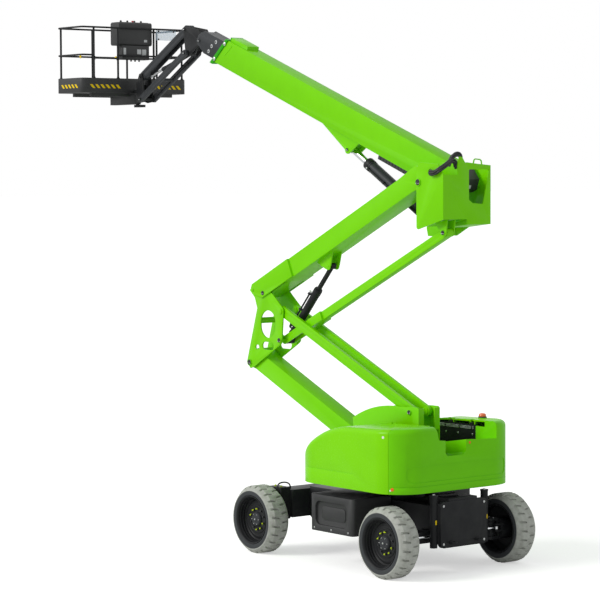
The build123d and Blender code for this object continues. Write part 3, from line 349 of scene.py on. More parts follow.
# ---------------------------------------------------------------- mesh making
class Blank:
    """A mesh on the bench, shaped by operators and then turned into a piece of the machine."""

    def __init__(self) -> None:
        """Starts with an empty mesh."""
        self.mesh = bmesh.new()

    def _edges_of(self, verts: Iterable[bmesh.types.BMVert]) -> list[bmesh.types.BMEdge]:
        """Edges between the given vertices."""
        return list({edge for vert in verts for edge in vert.link_edges})

    def _break_edges(self, verts: Sequence[bmesh.types.BMVert], width: float, least_angle: float = 40) -> None:
        """Rounds the sharp edges of some vertices.

        Args:
            verts: vertices of one closed shape.
            width: width of the rounding.
            least_angle: smallest angle in degrees that counts as sharp.
        """
        if width <= 0:
            return
        sharp = [e for e in self._edges_of(verts)
                 if len(e.link_faces) == 2 and e.calc_face_angle(0) > math.radians(least_angle)]
        bmesh.ops.bevel(self.mesh, geom=sharp, offset=width, segments=2, profile=0.5, affect="EDGES",
                        material=-1)

    def block(self, low: Sequence[float], high: Sequence[float], rounding: float = 0.0,
              place: Matrix = Matrix.Identity(4)) -> "Blank":
        """Adds a box.

        Args:
            low: lowest corner in the place's own axes.
            high: highest corner.
            rounding: width of its rounded edges.
            place: frame of the box.

        Returns:
            This blank.
        """
        low_v, high_v = Vector(low), Vector(high)
        verts = bmesh.ops.create_cube(self.mesh, size=1.0)["verts"]
        bmesh.ops.scale(self.mesh, vec=high_v - low_v, verts=verts)
        bmesh.ops.translate(self.mesh, vec=(low_v + high_v) / 2, verts=verts)
        bmesh.ops.transform(self.mesh, matrix=place, verts=verts)
        self._break_edges(verts, rounding)
        return self

    def bar(self, start: Sequence[float], end: Sequence[float], radius: float,
            end_radius: Optional[float] = None, sides: int = 24, rounding: float = 0.0) -> "Blank":
        """Adds a round, hexagonal or tapered bar.

        Args:
            start: centre of its first end.
            end: centre of its second end.
            radius: radius at the first end.
            end_radius: radius at the second end, or the same.
            sides: number of its sides.
            rounding: width of its rounded ends.

        Returns:
            This blank.
        """
        a, b = Vector(start), Vector(end)
        turn = (b - a).to_track_quat("Z", "Y").to_matrix().to_4x4()
        place = Matrix.Translation((a + b) / 2) @ turn
        verts = bmesh.ops.create_cone(self.mesh, cap_ends=True, segments=sides, radius1=radius,
                                      radius2=radius if end_radius is None else end_radius,
                                      depth=(b - a).length, matrix=place)["verts"]
        self._break_edges(verts, rounding, 50)
        return self

    def spun(self, profile: Sequence[tuple[float, float]], centre: Sequence[float], axis: Vector,
             steps: int = 48) -> "Blank":
        """Adds a turned shape.

        Args:
            profile: radius and height of each point, closed or from axis to axis.
            centre: foot of the axis.
            axis: direction of the heights.
            steps: steps of the full turn.

        Returns:
            This blank.
        """
        turn = Matrix.Translation(Vector(centre)) @ axis.to_track_quat("Z", "Y").to_matrix().to_4x4()
        verts = [self.mesh.verts.new((radius, 0.0, height)) for radius, height in profile]
        edges = [self.mesh.edges.new(pair) for pair in zip(verts, verts[1:])]
        if profile[0][0] > 0 and profile[-1][0] > 0:
            edges.append(self.mesh.edges.new((verts[-1], verts[0])))
        bmesh.ops.spin(self.mesh, geom=verts + edges, cent=(0, 0, 0), axis=(0, 0, 1), angle=math.tau,
                       steps=steps, use_merge=True, use_duplicate=False)
        front = list({v for e in edges for f in e.link_faces for v in f.verts})
        grown: set[bmesh.types.BMVert] = set(front)
        while front:
            vert = front.pop()
            new = {edge.other_vert(vert) for edge in vert.link_edges} - grown
            grown |= new
            front += new
        bmesh.ops.remove_doubles(self.mesh, verts=list(grown), dist=1e-5)
        alive = [v for v in grown if v.is_valid]
        bmesh.ops.transform(self.mesh, matrix=turn, verts=alive)
        return self

    def plate(self, points: Sequence[tuple[float, float]], depth: float, place: Matrix,
              rounding: float = 0.0) -> "Blank":
        """Adds a flat plate of any outline.

        Args:
            points: outline in the place's X and Y.
            depth: thickness along the place's Z.
            place: frame of the plate.
            rounding: width of its rounded edges.

        Returns:
            This blank.
        """
        verts = [self.mesh.verts.new((x, y, 0.0)) for x, y in points]
        face = self.mesh.faces.new(verts)
        out = bmesh.ops.extrude_face_region(self.mesh, geom=[face])
        moved = [item for item in out["geom"] if isinstance(item, bmesh.types.BMVert)]
        bmesh.ops.translate(self.mesh, vec=(0, 0, depth), verts=moved)
        every = verts + moved
        bmesh.ops.recalc_face_normals(self.mesh, faces=list({f for v in every for f in v.link_faces}))
        bmesh.ops.transform(self.mesh, matrix=place, verts=every)
        self._break_edges(every, rounding)
        return self

    def bolts(self, centres: Iterable[Sequence[float]], axis: Vector, across: float = 0.024,
              height: float = 0.012, washer: bool = True) -> "Blank":
        """Adds hexagon heads on washers.

        Args:
            centres: foot of each bolt head.
            axis: direction in which the heads stand.
            across: width across flats.
            height: height of the heads.
            washer: whether a washer lies under each head.

        Returns:
            This blank.
        """
        for centre in centres:
            foot = Vector(centre)
            if washer:
                self.bar(foot - axis * 0.001, foot + axis * 0.003, across * 0.85, sides=16)
            self.bar(foot, foot + axis * height, across / math.sqrt(3), sides=6, rounding=across * 0.06)
        return self

    def into(self, name: str, finish: AnyFinish, body: str, slot: Slot = Slot.BLACK_PAINT,
             smooth: float = 35.0) -> bpy.types.Object:
        """Turns the blank into a piece that rides on a body.

        Args:
            name: the piece's name.
            finish: its finish.
            body: the body that it rides on.
            slot: the material slot of the record, not used.
            smooth: angle in degrees up to which faces shade smoothly.

        Returns:
            The piece.
        """
        bmesh.ops.recalc_face_normals(self.mesh, faces=self.mesh.faces)
        data = bpy.data.meshes.new(name)
        self.mesh.to_mesh(data)
        self.mesh.free()
        data.shade_smooth()
        data.set_sharp_from_angle(angle=math.radians(smooth))
        piece = place_object(name, data)
        piece.data.materials.append(finish.material())
        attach(piece, body)
        LOG.info("%s rides on %s, %d faces", name, body, len(data.polygons))
        return piece


@dataclass(frozen=True)
class LinkFrame:
    """Upright frame along a link: s from its first pin to its second, w upwards across it."""

    start: Vector
    end: Vector

    @property
    def s_axis(self) -> Vector:
        """Direction of the link."""
        way = self.end - self.start
        return Vector((way.x, 0, way.z)).normalized()

    @property
    def w_axis(self) -> Vector:
        """Direction across the link, upwards."""
        side = Vector((-self.s_axis.z, 0, self.s_axis.x))
        return side if side.z > 0 else -side

    def at(self, s: float, w: float, y: float) -> Vector:
        """World point of the link's s and w at a depth y."""
        foot = self.start + self.s_axis * s + self.w_axis * w
        return Vector((foot.x, y, foot.z))

    def place(self, y: float = 0.0) -> Matrix:
        """Frame with X along the link, Y across it upwards and Z along the machine's Y."""
        foot = self.at(0, 0, y)
        turn = Matrix((self.s_axis, self.w_axis, ACROSS)).transposed()
        return Matrix.Translation(foot) @ turn.to_4x4()

    def bands(self, y: float, spans: Sequence[tuple[float, float, float]], sides: int,
              rounding: float) -> Blank:
        """Turned bands round a cylinder, such as its gland, each from one s to another with a radius."""
        made = Blank()
        for first, last, radius in spans:
            made.bar(self.at(first, 0, y), self.at(last, 0, y), radius, sides=sides, rounding=rounding)
        return made


def pin_of(joint: str) -> Vector:
    """Place of a joint's pin."""
    return Vector(JOINTS[joint]["pos_m"])


def link_along(joint: str, slide: str, y: float) -> LinkFrame:
    """Frame of a cylinder from its base pin along its slide."""
    base = pin_of(joint)
    foot = Vector((base.x, y, base.z))
    return LinkFrame(foot, foot + Vector(JOINTS[slide]["axis"]))


def hose(name: str, points: Sequence[Sequence[float]], radius: float, body: str,
         finish: Finish = HOSE_RUBBER) -> bpy.types.Object:
    """Adds a clipped hydraulic line, held at both ends by its fittings.

    Args:
        name: the piece's name.
        points: control points of its smooth middle line.
        radius: outer radius.
        body: the body that carries both ends.
        finish: its finish.

    Returns:
        The piece.
    """
    line = bpy.data.curves.new(name, "CURVE")
    line.dimensions = "3D"
    spline = line.splines.new("NURBS")
    spline.points.add(len(points) - 1)
    for knot, point in zip(spline.points, points):
        knot.co = (*point, 1.0)
    spline.order_u = 3
    spline.use_endpoint_u = True
    line.resolution_u = 8
    line.bevel_depth = radius
    line.bevel_resolution = 3
    line.use_fill_caps = True
    piece = place_object(name, line)
    line.materials.append(finish.material())
    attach(piece, body)
    return piece


def round_corners(low: tuple[float, float], high: tuple[float, float], radius: float,
                  steps: int = 6) -> list[tuple[float, float]]:
    """Outline of a rectangle with round corners.

    Args:
        low: lowest corner.
        high: highest corner.
        radius: radius of the corners.
        steps: steps of each corner.

    Returns:
        The points in order.
    """
    centres = ((high[0] - radius, high[1] - radius, 0), (low[0] + radius, high[1] - radius, 90),
               (low[0] + radius, low[1] + radius, 180), (high[0] - radius, low[1] + radius, 270))
    return [(x + radius * math.cos(math.radians(turn + 90 * i / steps)),
             y + radius * math.sin(math.radians(turn + 90 * i / steps)))
            for x, y, turn in centres for i in range(steps + 1)]


def facing_y(x: float, y: float, z: float, side: int) -> Matrix:
    """Frame of an upright plate that lies along X and Z and faces +Y (side 1) or -Y (side -1)."""
    return Matrix(((1, 0, 0, x), (0, 0, side, y), (0, 1, 0, z), (0, 0, 0, 1)))


def facing_x(x: float, side: int) -> Matrix:
    """Frame of an upright plate that lies along Y and Z and faces +X (side 1) or -X (side -1)."""
    return Matrix(((0, 0, side, x), (1, 0, 0, 0), (0, 1, 0, 0), (0, 0, 0, 1)))


# ---------------------------------------------------------------- surroundings
@dataclass(frozen=True)
class Studio:
    """Pale floor, soft light and the camera."""

    camera_place: tuple[float, float, float] = (-25.311, 21.372, 5.505)
    yaw: float = -38.2077
    pitch: float = -3.177
    roll: float = -0.005
    lens_mm: float = 140.625
    sky: float = 0.52
    sky_tint: tuple[float, float, float, float] = (0.97, 1.0, 0.985, 1.0)
    sun: float = 1.75
    sun_tint: tuple[float, float, float] = (1.0, 0.985, 0.96)
    sun_from: tuple[float, float, float] = (0.30, 0.80, 0.52)
    sun_spread: float = 25.0
    floor_reach: float = 400.0
    floor_z: float = -0.0005
    floor_grey: float = 0.86
    floor_glow: float = 0.5

    def build(self) -> None:
        """Adds the floor, the lights and the camera."""
        self._floor()
        self._lights()
        self._camera()
        bpy.context.scene.view_settings.view_transform = "Standard"

    def _floor(self) -> None:
        """Adds a white floor that keeps the machine's shadow."""
        mesh = bmesh.new()
        bmesh.ops.create_grid(mesh, x_segments=1, y_segments=1, size=self.floor_reach)
        data = bpy.data.meshes.new("studio_floor")
        mesh.to_mesh(data)
        mesh.free()
        floor = place_object("studio_floor", data)
        floor.location.z = self.floor_z
        made = empty_material("white_studio_floor")
        tree = made.node_tree
        ray = add_node(tree, "ShaderNodeLightPath")
        diffuse = add_node(tree, "ShaderNodeBsdfDiffuse", {"Color": (self.floor_grey,) * 3 + (1.0,)})
        shown = add_node(tree, "ShaderNodeEmission",
                         {"Color": (1.0, 1.0, 1.0, 1.0), "Strength": self.floor_glow})
        camera_only = add_node(tree, "ShaderNodeMixShader", None,
                               {0: (ray, "Is Camera Ray"), 2: (shown, "Emission")})
        total = add_node(tree, "ShaderNodeAddShader", None, {0: (diffuse, "BSDF"), 1: (camera_only, "Shader")})
        add_node(tree, "ShaderNodeOutputMaterial", None, {"Surface": (total, "Shader")})
        data.materials.append(made)

    def _lights(self) -> None:
        """Adds the even sky and one soft sun from the left."""
        world = bpy.data.worlds.new("studio_sky")
        bpy.context.scene.world = world
        world.use_nodes = True
        tree = world.node_tree
        tree.nodes.clear()
        ray = add_node(tree, "ShaderNodeLightPath")
        seen = add_node(tree, "ShaderNodeMath", {"operation": "MAXIMUM"},
                        {0: (ray, "Is Camera Ray"), 1: (ray, "Is Glossy Ray")})
        seen_all = add_node(tree, "ShaderNodeMath", {"operation": "MAXIMUM"},
                            {0: (seen, 0), 1: (ray, "Is Transmission Ray")})
        level = add_node(tree, "ShaderNodeMapRange", {"To Min": self.sky, "To Max": 1.0},
                         {"Value": (seen_all, 0)})
        tint = add_node(tree, "ShaderNodeMix", {"data_type": "RGBA", 6: self.sky_tint, 7: (1.0,) * 4},
                        {0: (seen_all, 0)})
        light = add_node(tree, "ShaderNodeBackground", None,
                         {"Color": (tint, 2), "Strength": (level, "Result")})
        add_node(tree, "ShaderNodeOutputWorld", None, {"Surface": (light, "Background")})
        lamp = bpy.data.lights.new("soft_sun", "SUN")
        lamp.energy = self.sun
        lamp.color = self.sun_tint
        lamp.angle = math.radians(self.sun_spread)
        holder = place_object("soft_sun", lamp)
        holder.rotation_euler = Vector(self.sun_from).to_track_quat("Z", "Y").to_euler()

    def _camera(self) -> None:
        """Adds the camera."""
        data = bpy.data.cameras.new("camera")
        data.lens = self.lens_mm
        data.sensor_width = 36.0
        data.clip_end = 2000.0
        camera = place_object("camera", data)
        yaw, pitch = math.radians(self.yaw), math.radians(self.pitch)
        look = Vector((math.cos(pitch) * math.cos(yaw), math.cos(pitch) * math.sin(yaw), math.sin(pitch)))
        turn = look.to_track_quat("-Z", "Y").to_matrix() @ Matrix.Rotation(self.roll, 3, "Z")
        camera.matrix_world = Matrix.Translation(self.camera_place) @ turn.to_4x4()
        bpy.context.scene.camera = camera


# ---------------------------------------------------------------- frame nodes
@dataclass
class FramePieces:
    """Finishes of the frame's nodes, with softened copies of the ones that show broad faces."""

    merge_gap: float = 2e-5
    flat_degrees: float = 0.4
    sharp_degrees: float = 34.0
    smooth_degrees: float = 30.0
    # finish, rounding of its edges in mm (0 keeps the node itself), nodes
    softened: tuple[tuple[AnyFinish, float, str], ...] = (
        (LIME, 4.0, "lower_boom lower_ties"),
        (LIME, 2.0, "mid_knuckle"),
        (LIME, 4.0, "upper_riser"),
        (LIME, 3.0, "upper_tie"),
        (LIME, 2.0, "top_knuckle"),
        (LIME_BOOM, 3.0, "outer_boom"),
        (LIME, 2.0, "turret_mast"),
        (LIME_SHELL, 3.0, "hood_left hood_right"),
        (LIME_CAST, 6.0, "counterweight"),
        (CHARCOAL_STEEL, 3.0, "inner_boom"),
        (BLACK_STEEL, 1.5, "boom_nose"),
        (CHARCOAL_STEEL, 2.0, "jib_arms jib_tie"),
        (BLACK_STEEL, 1.5, "jib_carrier"),
        (BLACK_STEEL, 4.0, "chassis_frame end_guard"),
        (BLACK_STEEL, 3.0, "drive_axle steer_axle"),
        (BLACK_MOULD, 8.0, "side_pod_left side_pod_right"),
        (BLACK_MOULD, 5.0, "basket_tray"),
        (BLACK_MOULD, 4.0, "control_console"),
        (BLACK_MOULD, 20.0, "fluid_tank"),
        (BLACK_STEEL, 8.0, "power_pack"),
        (BLACK_STEEL, 2.0, "steer_knuckle_left steer_knuckle_right"),
        (BLACK_STEEL, 0.0, "basket_rails drop_bar"),
        (PALE_RUBBER, 5.0, "tyre_steer_left tyre_steer_right tyre_drive_left tyre_drive_right"),
        (BLACK_STEEL, 0.0, "riser_cylinder_barrel riser_cylinder_rod"),
        (CHARCOAL_STEEL, 0.0, "lift_cylinder_barrel"),
        (CHROME, 0.0, "lift_cylinder_rod"),
        (BLACK_STEEL, 0.0, "jib_cylinder_barrel"),
        (CHROME, 0.0, "jib_cylinder_rod"),
        (BLACK_STEEL, 0.0, "steer_cylinder"),
        (CHROME, 0.0, "steer_rod"),
        (BLACK_STEEL, 0.0, "slew_ring turret_deck"),
        (CLEAR_SHEET, 0.0, "side_screen"),
        (AMBER_LENS, 0.0, "beacon"))

    def build(self) -> None:
        """Dresses every node of the frame."""
        for finish, rounding_mm, nodes in self.softened:
            for node in nodes.split():
                if rounding_mm > 0:
                    self._copy(node, finish, rounding_mm * MM)
                else:
                    self._dress(node, finish)

    def _dress(self, node: str, finish: AnyFinish) -> None:
        """Gives a frame node its finish."""
        data = frame["nodes"][node].data
        data.materials.clear()
        data.materials.append(finish.material())

    def _copy(self, node: str, finish: AnyFinish, rounding: float) -> bpy.types.Object:
        """Makes a copy with merged corners and rounded edges that stands for a frame node.

        Args:
            node: the frame node.
            finish: its finish.
            rounding: width of the rounded edges.

        Returns:
            The piece.
        """
        mesh = bmesh.new()
        mesh.from_mesh(frame["nodes"][node].data)
        bmesh.ops.remove_doubles(mesh, verts=mesh.verts, dist=self.merge_gap)
        bmesh.ops.dissolve_limit(mesh, angle_limit=math.radians(self.flat_degrees), verts=mesh.verts,
                                 edges=mesh.edges)
        least = math.radians(self.sharp_degrees)
        sharp = [e for e in mesh.edges if len(e.link_faces) == 2 and e.calc_face_angle(0) > least]
        bmesh.ops.bevel(mesh, geom=sharp, offset=rounding, segments=2, profile=0.5, affect="EDGES",
                        material=-1, clamp_overlap=True)
        data = bpy.data.meshes.new(node + "_skin")
        mesh.to_mesh(data)
        mesh.free()
        data.materials.clear()
        data.materials.append(finish.material())
        data.shade_smooth()
        data.set_sharp_from_angle(angle=math.radians(self.smooth_degrees))
        piece = place_object(node + "_skin", data)
        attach(piece, body_holding(node))
        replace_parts(piece, node)
        LOG.info("%s stands for %s, %d faces", piece.name, node, len(data.polygons))
        return piece


def body_holding(node: str) -> str:
    """Name of the body that carries a frame node."""
    bodies = frame["record"]["behaviour"]["bodies"]
    return next(body for body, nodes in bodies.items() if node in nodes)


# ---------------------------------------------------------------- wheels
@dataclass
class Wheel:
    """Turned rim, wheel nuts, hub cover and valve of one wheel."""

    name: str
    half: float = 0.175
    barrel_r: float = 0.324
    hub_r: float = 0.105
    bolt_circle: float = 0.150
    nuts: int = 10

    def __post_init__(self) -> None:
        """Reads the wheel's place and side from its joint."""
        self.centre = pin_of("wheel_spin_" + self.name)
        self.out = ACROSS if self.centre.y > 0 else -ACROSS
        self.body = "wheel_" + self.name

    def build(self) -> None:
        """Builds the rim and its fittings."""
        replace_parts(self._rim(), "rim_" + self.name)
        self._hub()
        self._nuts()

    def _rim(self) -> bpy.types.Object:
        """Turned steel rim with a stepped barrel and a dished disc."""
        r, h = self.barrel_r, self.half
        profile = [(0.0, 0.082), (0.045, 0.082), (0.045, 0.028), (0.250, 0.028), (0.262, 0.022), (r, -0.020),
                   (r, -h + 0.014), (r + 0.012, -h + 0.004), (r + 0.020, -h), (r + 0.024, -h + 0.008),
                   (r + 0.0137, -h + 0.016), (r + 0.0137, h - 0.016), (r + 0.024, h - 0.008),
                   (r + 0.020, h + 0.002), (r + 0.014, h), (r + 0.004, h - 0.010), (r - 0.001, h - 0.018),
                   (r - 0.006, h - 0.045), (r - 0.012, h - 0.052), (r - 0.013, h - 0.085),
                   (r - 0.019, h - 0.094), (r - 0.021, h - 0.122), (0.286, 0.040), (0.270, 0.050),
                   (0.246, 0.052), (0.238, 0.046), (0.206, 0.046), (0.200, 0.054), (0.186, 0.056),
                   (0.178, 0.050), (0.120, 0.050), (0.112, 0.054), (0.0, 0.054)]
        return Blank().spun(profile, self.centre, self.out, 72).into(
            "rim_" + self.name + "_turned", BLACK_STEEL, self.body, smooth=28)

    def _hub(self) -> None:
        """Planetary hub cover with its bolts and plug."""
        shape = Blank().spun([(0.0, 0.104), (0.032, 0.104), (0.038, 0.098), (0.066, 0.097), (0.086, 0.094),
                              (0.098, 0.084), (self.hub_r, 0.070), (self.hub_r + 0.002, 0.052), (0.0, 0.052)],
                             self.centre, self.out, 48)
        shape.into("hub_cover_" + self.name, CHARCOAL_STEEL, self.body, smooth=28)
        ring = [self._around(0.078, turn * 60, 0.095) for turn in range(6)]
        Blank().bolts(ring, self.out, 0.013, 0.007, False).bar(
            self._around(0.0, 0, 0.103), self._around(0.0, 0, 0.110), 0.014, sides=6, rounding=0.001).into(
            "hub_bolts_" + self.name, ZINC, self.body)

    def _around(self, radius: float, degrees: float, out: float) -> Vector:
        """Point at a radius and an angle round the axle, out from the wheel's middle plane."""
        turn = math.radians(degrees)
        return self.centre + ALONG * radius * math.cos(turn) + UP * radius * math.sin(turn) + self.out * out

    def _nuts(self) -> None:
        """Wheel nuts, the caps on them and the valve."""
        feet = [self._around(self.bolt_circle, 18 + turn * 360 / self.nuts, 0.050) for turn in range(self.nuts)]
        nuts = Blank().bolts(feet, self.out, 0.027, 0.024)
        nuts.bar(self._around(0.292, 200, 0.036), self._around(0.283, 200, 0.092), 0.006, sides=10)
        nuts.into("wheel_nuts_" + self.name, DARK_PIN, self.body)
        caps = Blank()
        for index, foot in enumerate(feet):
            if index % 5 < 3:
                caps.bar(foot + self.out * 0.022, foot + self.out * 0.034, 0.013, 0.009, 10)
                toward = self._around(self.bolt_circle, 18 + index * 36 + 11, 0.074) - foot
                caps.bar(foot + self.out * 0.026, foot + toward * 0.9, 0.004, 0.003, 6)
        caps.into("nut_pointers_" + self.name, TAG_YELLOW, self.body)


# ---------------------------------------------------------------- pins
@dataclass
class PinKeepers:
    """Stepped ends and keeper bolts of the pins."""

    # name, body, joint that gives the pin, distance of the faces from the middle plane, radius of the cap
    pairs: tuple[tuple[str, str, str, float, float], ...] = (
        ("t1", "turret", "riser", 0.208, 0.044), ("t2", "turret", "lower_tie_pivot", 0.208, 0.034),
        ("p1", "mid_knuckle", "mid_knuckle_pivot", 0.194, 0.043),
        ("p3", "mid_knuckle", "upper_riser_pivot", 0.205, 0.035),
        ("p4", "mid_knuckle", "upper_tie_pivot", 0.194, 0.036))
    # name, joint that gives the pin, y of the face, side, radius of the cap
    singles: tuple[tuple[str, str, float, int, float], ...] = (
        ("k1_left", "top_knuckle_pivot", 0.212, 1, 0.045), ("k3_right", "boom_lift", -0.690, -1, 0.044),
        ("k4_right", "lift_barrel_pivot", -0.690, -1, 0.034))

    def build(self) -> None:
        """Builds the ends of the riser's pins and of the pins at the boom's root."""
        for name, body, joint, reach, radius in self.pairs:
            self.both(name, body, pin_of(joint), 0.0, reach, radius)
        for name, joint, y, side, radius in self.singles:
            centre = pin_of(joint)
            self.keeper(name, "top_knuckle", Vector((centre.x, y, centre.z)), side, radius)

    def both(self, name: str, body: str, centre: Vector, middle: float, reach: float, radius: float) -> None:
        """Builds the two ends of one pin.

        Args:
            name: the pin's short name.
            body: the body that holds the pin.
            centre: any point of the pin's axis.
            middle: y of the middle plane between the ends.
            reach: distance of each end face from that plane.
            radius: radius of the pin's ends.
        """
        for side, label in SIDES:
            face = Vector((centre.x, middle + side * reach, centre.z))
            self.keeper(f"{name}_{label}", body, face, side, radius)

    def keeper(self, name: str, body: str, face: Vector, side: int, radius: float) -> None:
        """Builds one pin end with its keeper.

        Args:
            name: the pin's short name.
            body: the body that holds the pin.
            face: centre of the pin's end face.
            side: 1 where it looks to the left, -1 to the right.
            radius: radius of the pin's end.
        """
        out = ACROSS * side
        rim = radius * 0.94
        cap = Blank().spun([(0.0, 0.010), (radius * 0.35, 0.010), (radius * 0.42, 0.006),
                            (radius * 0.86, 0.006), (rim, 0.002), (rim, -0.004), (0.0, -0.004)], face, out, 28)
        cap.into("pin_end_" + name, DARK_PIN, body)
        feet = [face + out * 0.003 + ALONG * radius * 0.5 * turn - UP * radius * 0.35 for turn in (-1, 1)]
        Blank().bolts(feet, out, 0.014, 0.008, False).into("pin_bolts_" + name, ZINC, body)


# ---------------------------------------------------------------- turret
@dataclass
class TurretTrim:
    """Beacon, markers and the fittings in the turret's open channel and under its hoods."""

    middle_x: float = -0.52
    half: tuple[float, float] = (1.140, 1.125)
    corner: float = 0.470
    wall_y: float = -0.708

    def build(self) -> None:
        """Builds the turret's trim."""
        self._beacon()
        self._markers()
        self._wall_lines()
        self._engine()

    def skin(self, x: float, side: int, z: float) -> tuple[Vector, Vector]:
        """Point on the covers' outer face and the outward direction there.

        Args:
            x: place along the machine.
            side: 1 on the left, -1 on the right.
            z: height.

        Returns:
            The point and its normal, which turns round the plan's corners.
        """
        reach = abs(x - self.middle_x) - (self.half[0] - self.corner)
        if reach <= 0:
            return Vector((x, side * self.half[1], z)), ACROSS * side
        turn = math.asin(min(1.0, reach / self.corner))
        out = Vector((math.copysign(math.sin(turn), x - self.middle_x), side * math.cos(turn), 0))
        y = self.half[1] - self.corner + self.corner * math.cos(turn)
        return Vector((x, side * y, z)), out

    def _beacon(self) -> None:
        """Low amber lens with a stepped rim on a black foot."""
        low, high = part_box("beacon")
        foot = Vector(((low.x + high.x) / 2, (low.y + high.y) / 2, low.z))
        tall = high.z - low.z
        lens = Blank().spun([(0.0, tall), (0.024, tall - 0.001), (0.040, tall - 0.007), (0.049, tall - 0.018),
                             (0.0515, tall - 0.026), (0.050, tall - 0.028), (0.0525, tall - 0.032),
                             (0.0525, 0.018), (0.0, 0.018)], foot, UP, 36)
        piece = lens.into("beacon_lens", AMBER_LENS, "hood_right", Slot.AMBER, 25)
        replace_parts(piece, "beacon")
        Blank().spun([(0.0, 0.020), (0.055, 0.020), (0.058, 0.016), (0.060, 0.012), (0.060, 0.0), (0.0, 0.0)],
                     foot, UP, 36).into("beacon_foot", BLACK_MOULD, "hood_right", Slot.BLACK_PLASTIC)

    def _markers(self) -> None:
        """Small round markers on the covers, set square to the skin."""
        for side, label in SIDES:
            self._marker("seam_low_" + label, "turret", *self.skin(-1.462, side, 1.205), 0.024, MARKER_ORANGE)
            if side > 0:
                self._marker("seam_low_white_left", "turret", *self.skin(-1.440, 1, 1.190), 0.012, MARKER_WHITE)
            self._marker("hood_" + label, "hood_" + label, *self.skin(-1.345, side, 1.905), 0.018, MARKER_WHITE)
        self._marker("tail", "turret", Vector((-1.660, -0.190, 1.770)), -ALONG, 0.018, MARKER_ORANGE)

    def _marker(self, name: str, body: str, place: Vector, out: Vector, radius: float, finish: Finish) -> None:
        """Builds one raised round marker."""
        Blank().spun([(0.0, 0.003), (radius * 0.8, 0.003), (radius, 0.0015), (radius, -0.005), (0.0, -0.005)],
                     place, out, 24).into("marker_" + name, finish, body, Slot.GREEN_SHELL)

    def _wall_lines(self) -> None:
        """Steel lines, clips and bolts along the channel's far wall, seen through the stowing recess."""
        wall = self.wall_y
        lines = Blank()
        for z in (1.876, 1.892, 1.908):
            lines.bar((-1.180, wall + 0.008, z), (0.250, wall + 0.008, z), 0.0045, sides=10)
        lines.into("channel_lines", ZINC, "turret")
        clips = Blank()
        for x in (-1.150, -0.900, -0.600, -0.300, 0.0):
            clips.block((x, wall - 0.001, 1.866), (x + 0.024, wall + 0.014, 1.918), 0.002)
        clips.into("channel_clips", BLACK_MOULD, "turret", Slot.BLACK_PLASTIC)
        bolts = Blank().bolts([(x, wall, 1.800) for x in (-1.150, -0.850, -0.600)], ACROSS, 0.018, 0.008)
        bolts.into("channel_bolts", ZINC, "turret")

    def _engine(self) -> None:
        """Ribs, filter, filler cap and straps that show when the hoods stand open."""
        low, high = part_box("power_pack")
        ribs = Blank()
        for index in range(9):
            x = low.x + 0.12 + index * 0.17
            ribs.block((x, low.y - 0.012, low.z + 0.06), (x + 0.025, low.y + 0.004, high.z - 0.05), 0.003)
        filter_x, middle = low.x + 0.30, (low.y + high.y) / 2
        ribs.bar((filter_x, middle, high.z - 0.002), (filter_x, middle, high.z + 0.020), 0.09, sides=36,
                 rounding=0.006)
        ribs.into("power_pack_ribs", CHARCOAL_STEEL, "turret")
        low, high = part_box("fluid_tank")
        middle = (low.y + high.y) / 2
        cap = Blank().spun([(0.0, 0.045), (0.045, 0.045), (0.052, 0.038), (0.052, 0.012), (0.060, 0.010),
                            (0.060, -0.004), (0.0, -0.004)], (high.x - 0.25, middle, high.z), UP, 24)
        for x in (low.x + 0.25, high.x - 0.42):
            cap.block((x, low.y + 0.03, high.z - 0.002), (x + 0.045, high.y - 0.03, high.z + 0.004), 0.001)
            cap.block((x, high.y - 0.001, low.z), (x + 0.045, high.y + 0.004, high.z - 0.02), 0.001)
        cap.into("tank_cap_and_straps", BLACK_STEEL, "turret", Slot.BLACK_PLASTIC)


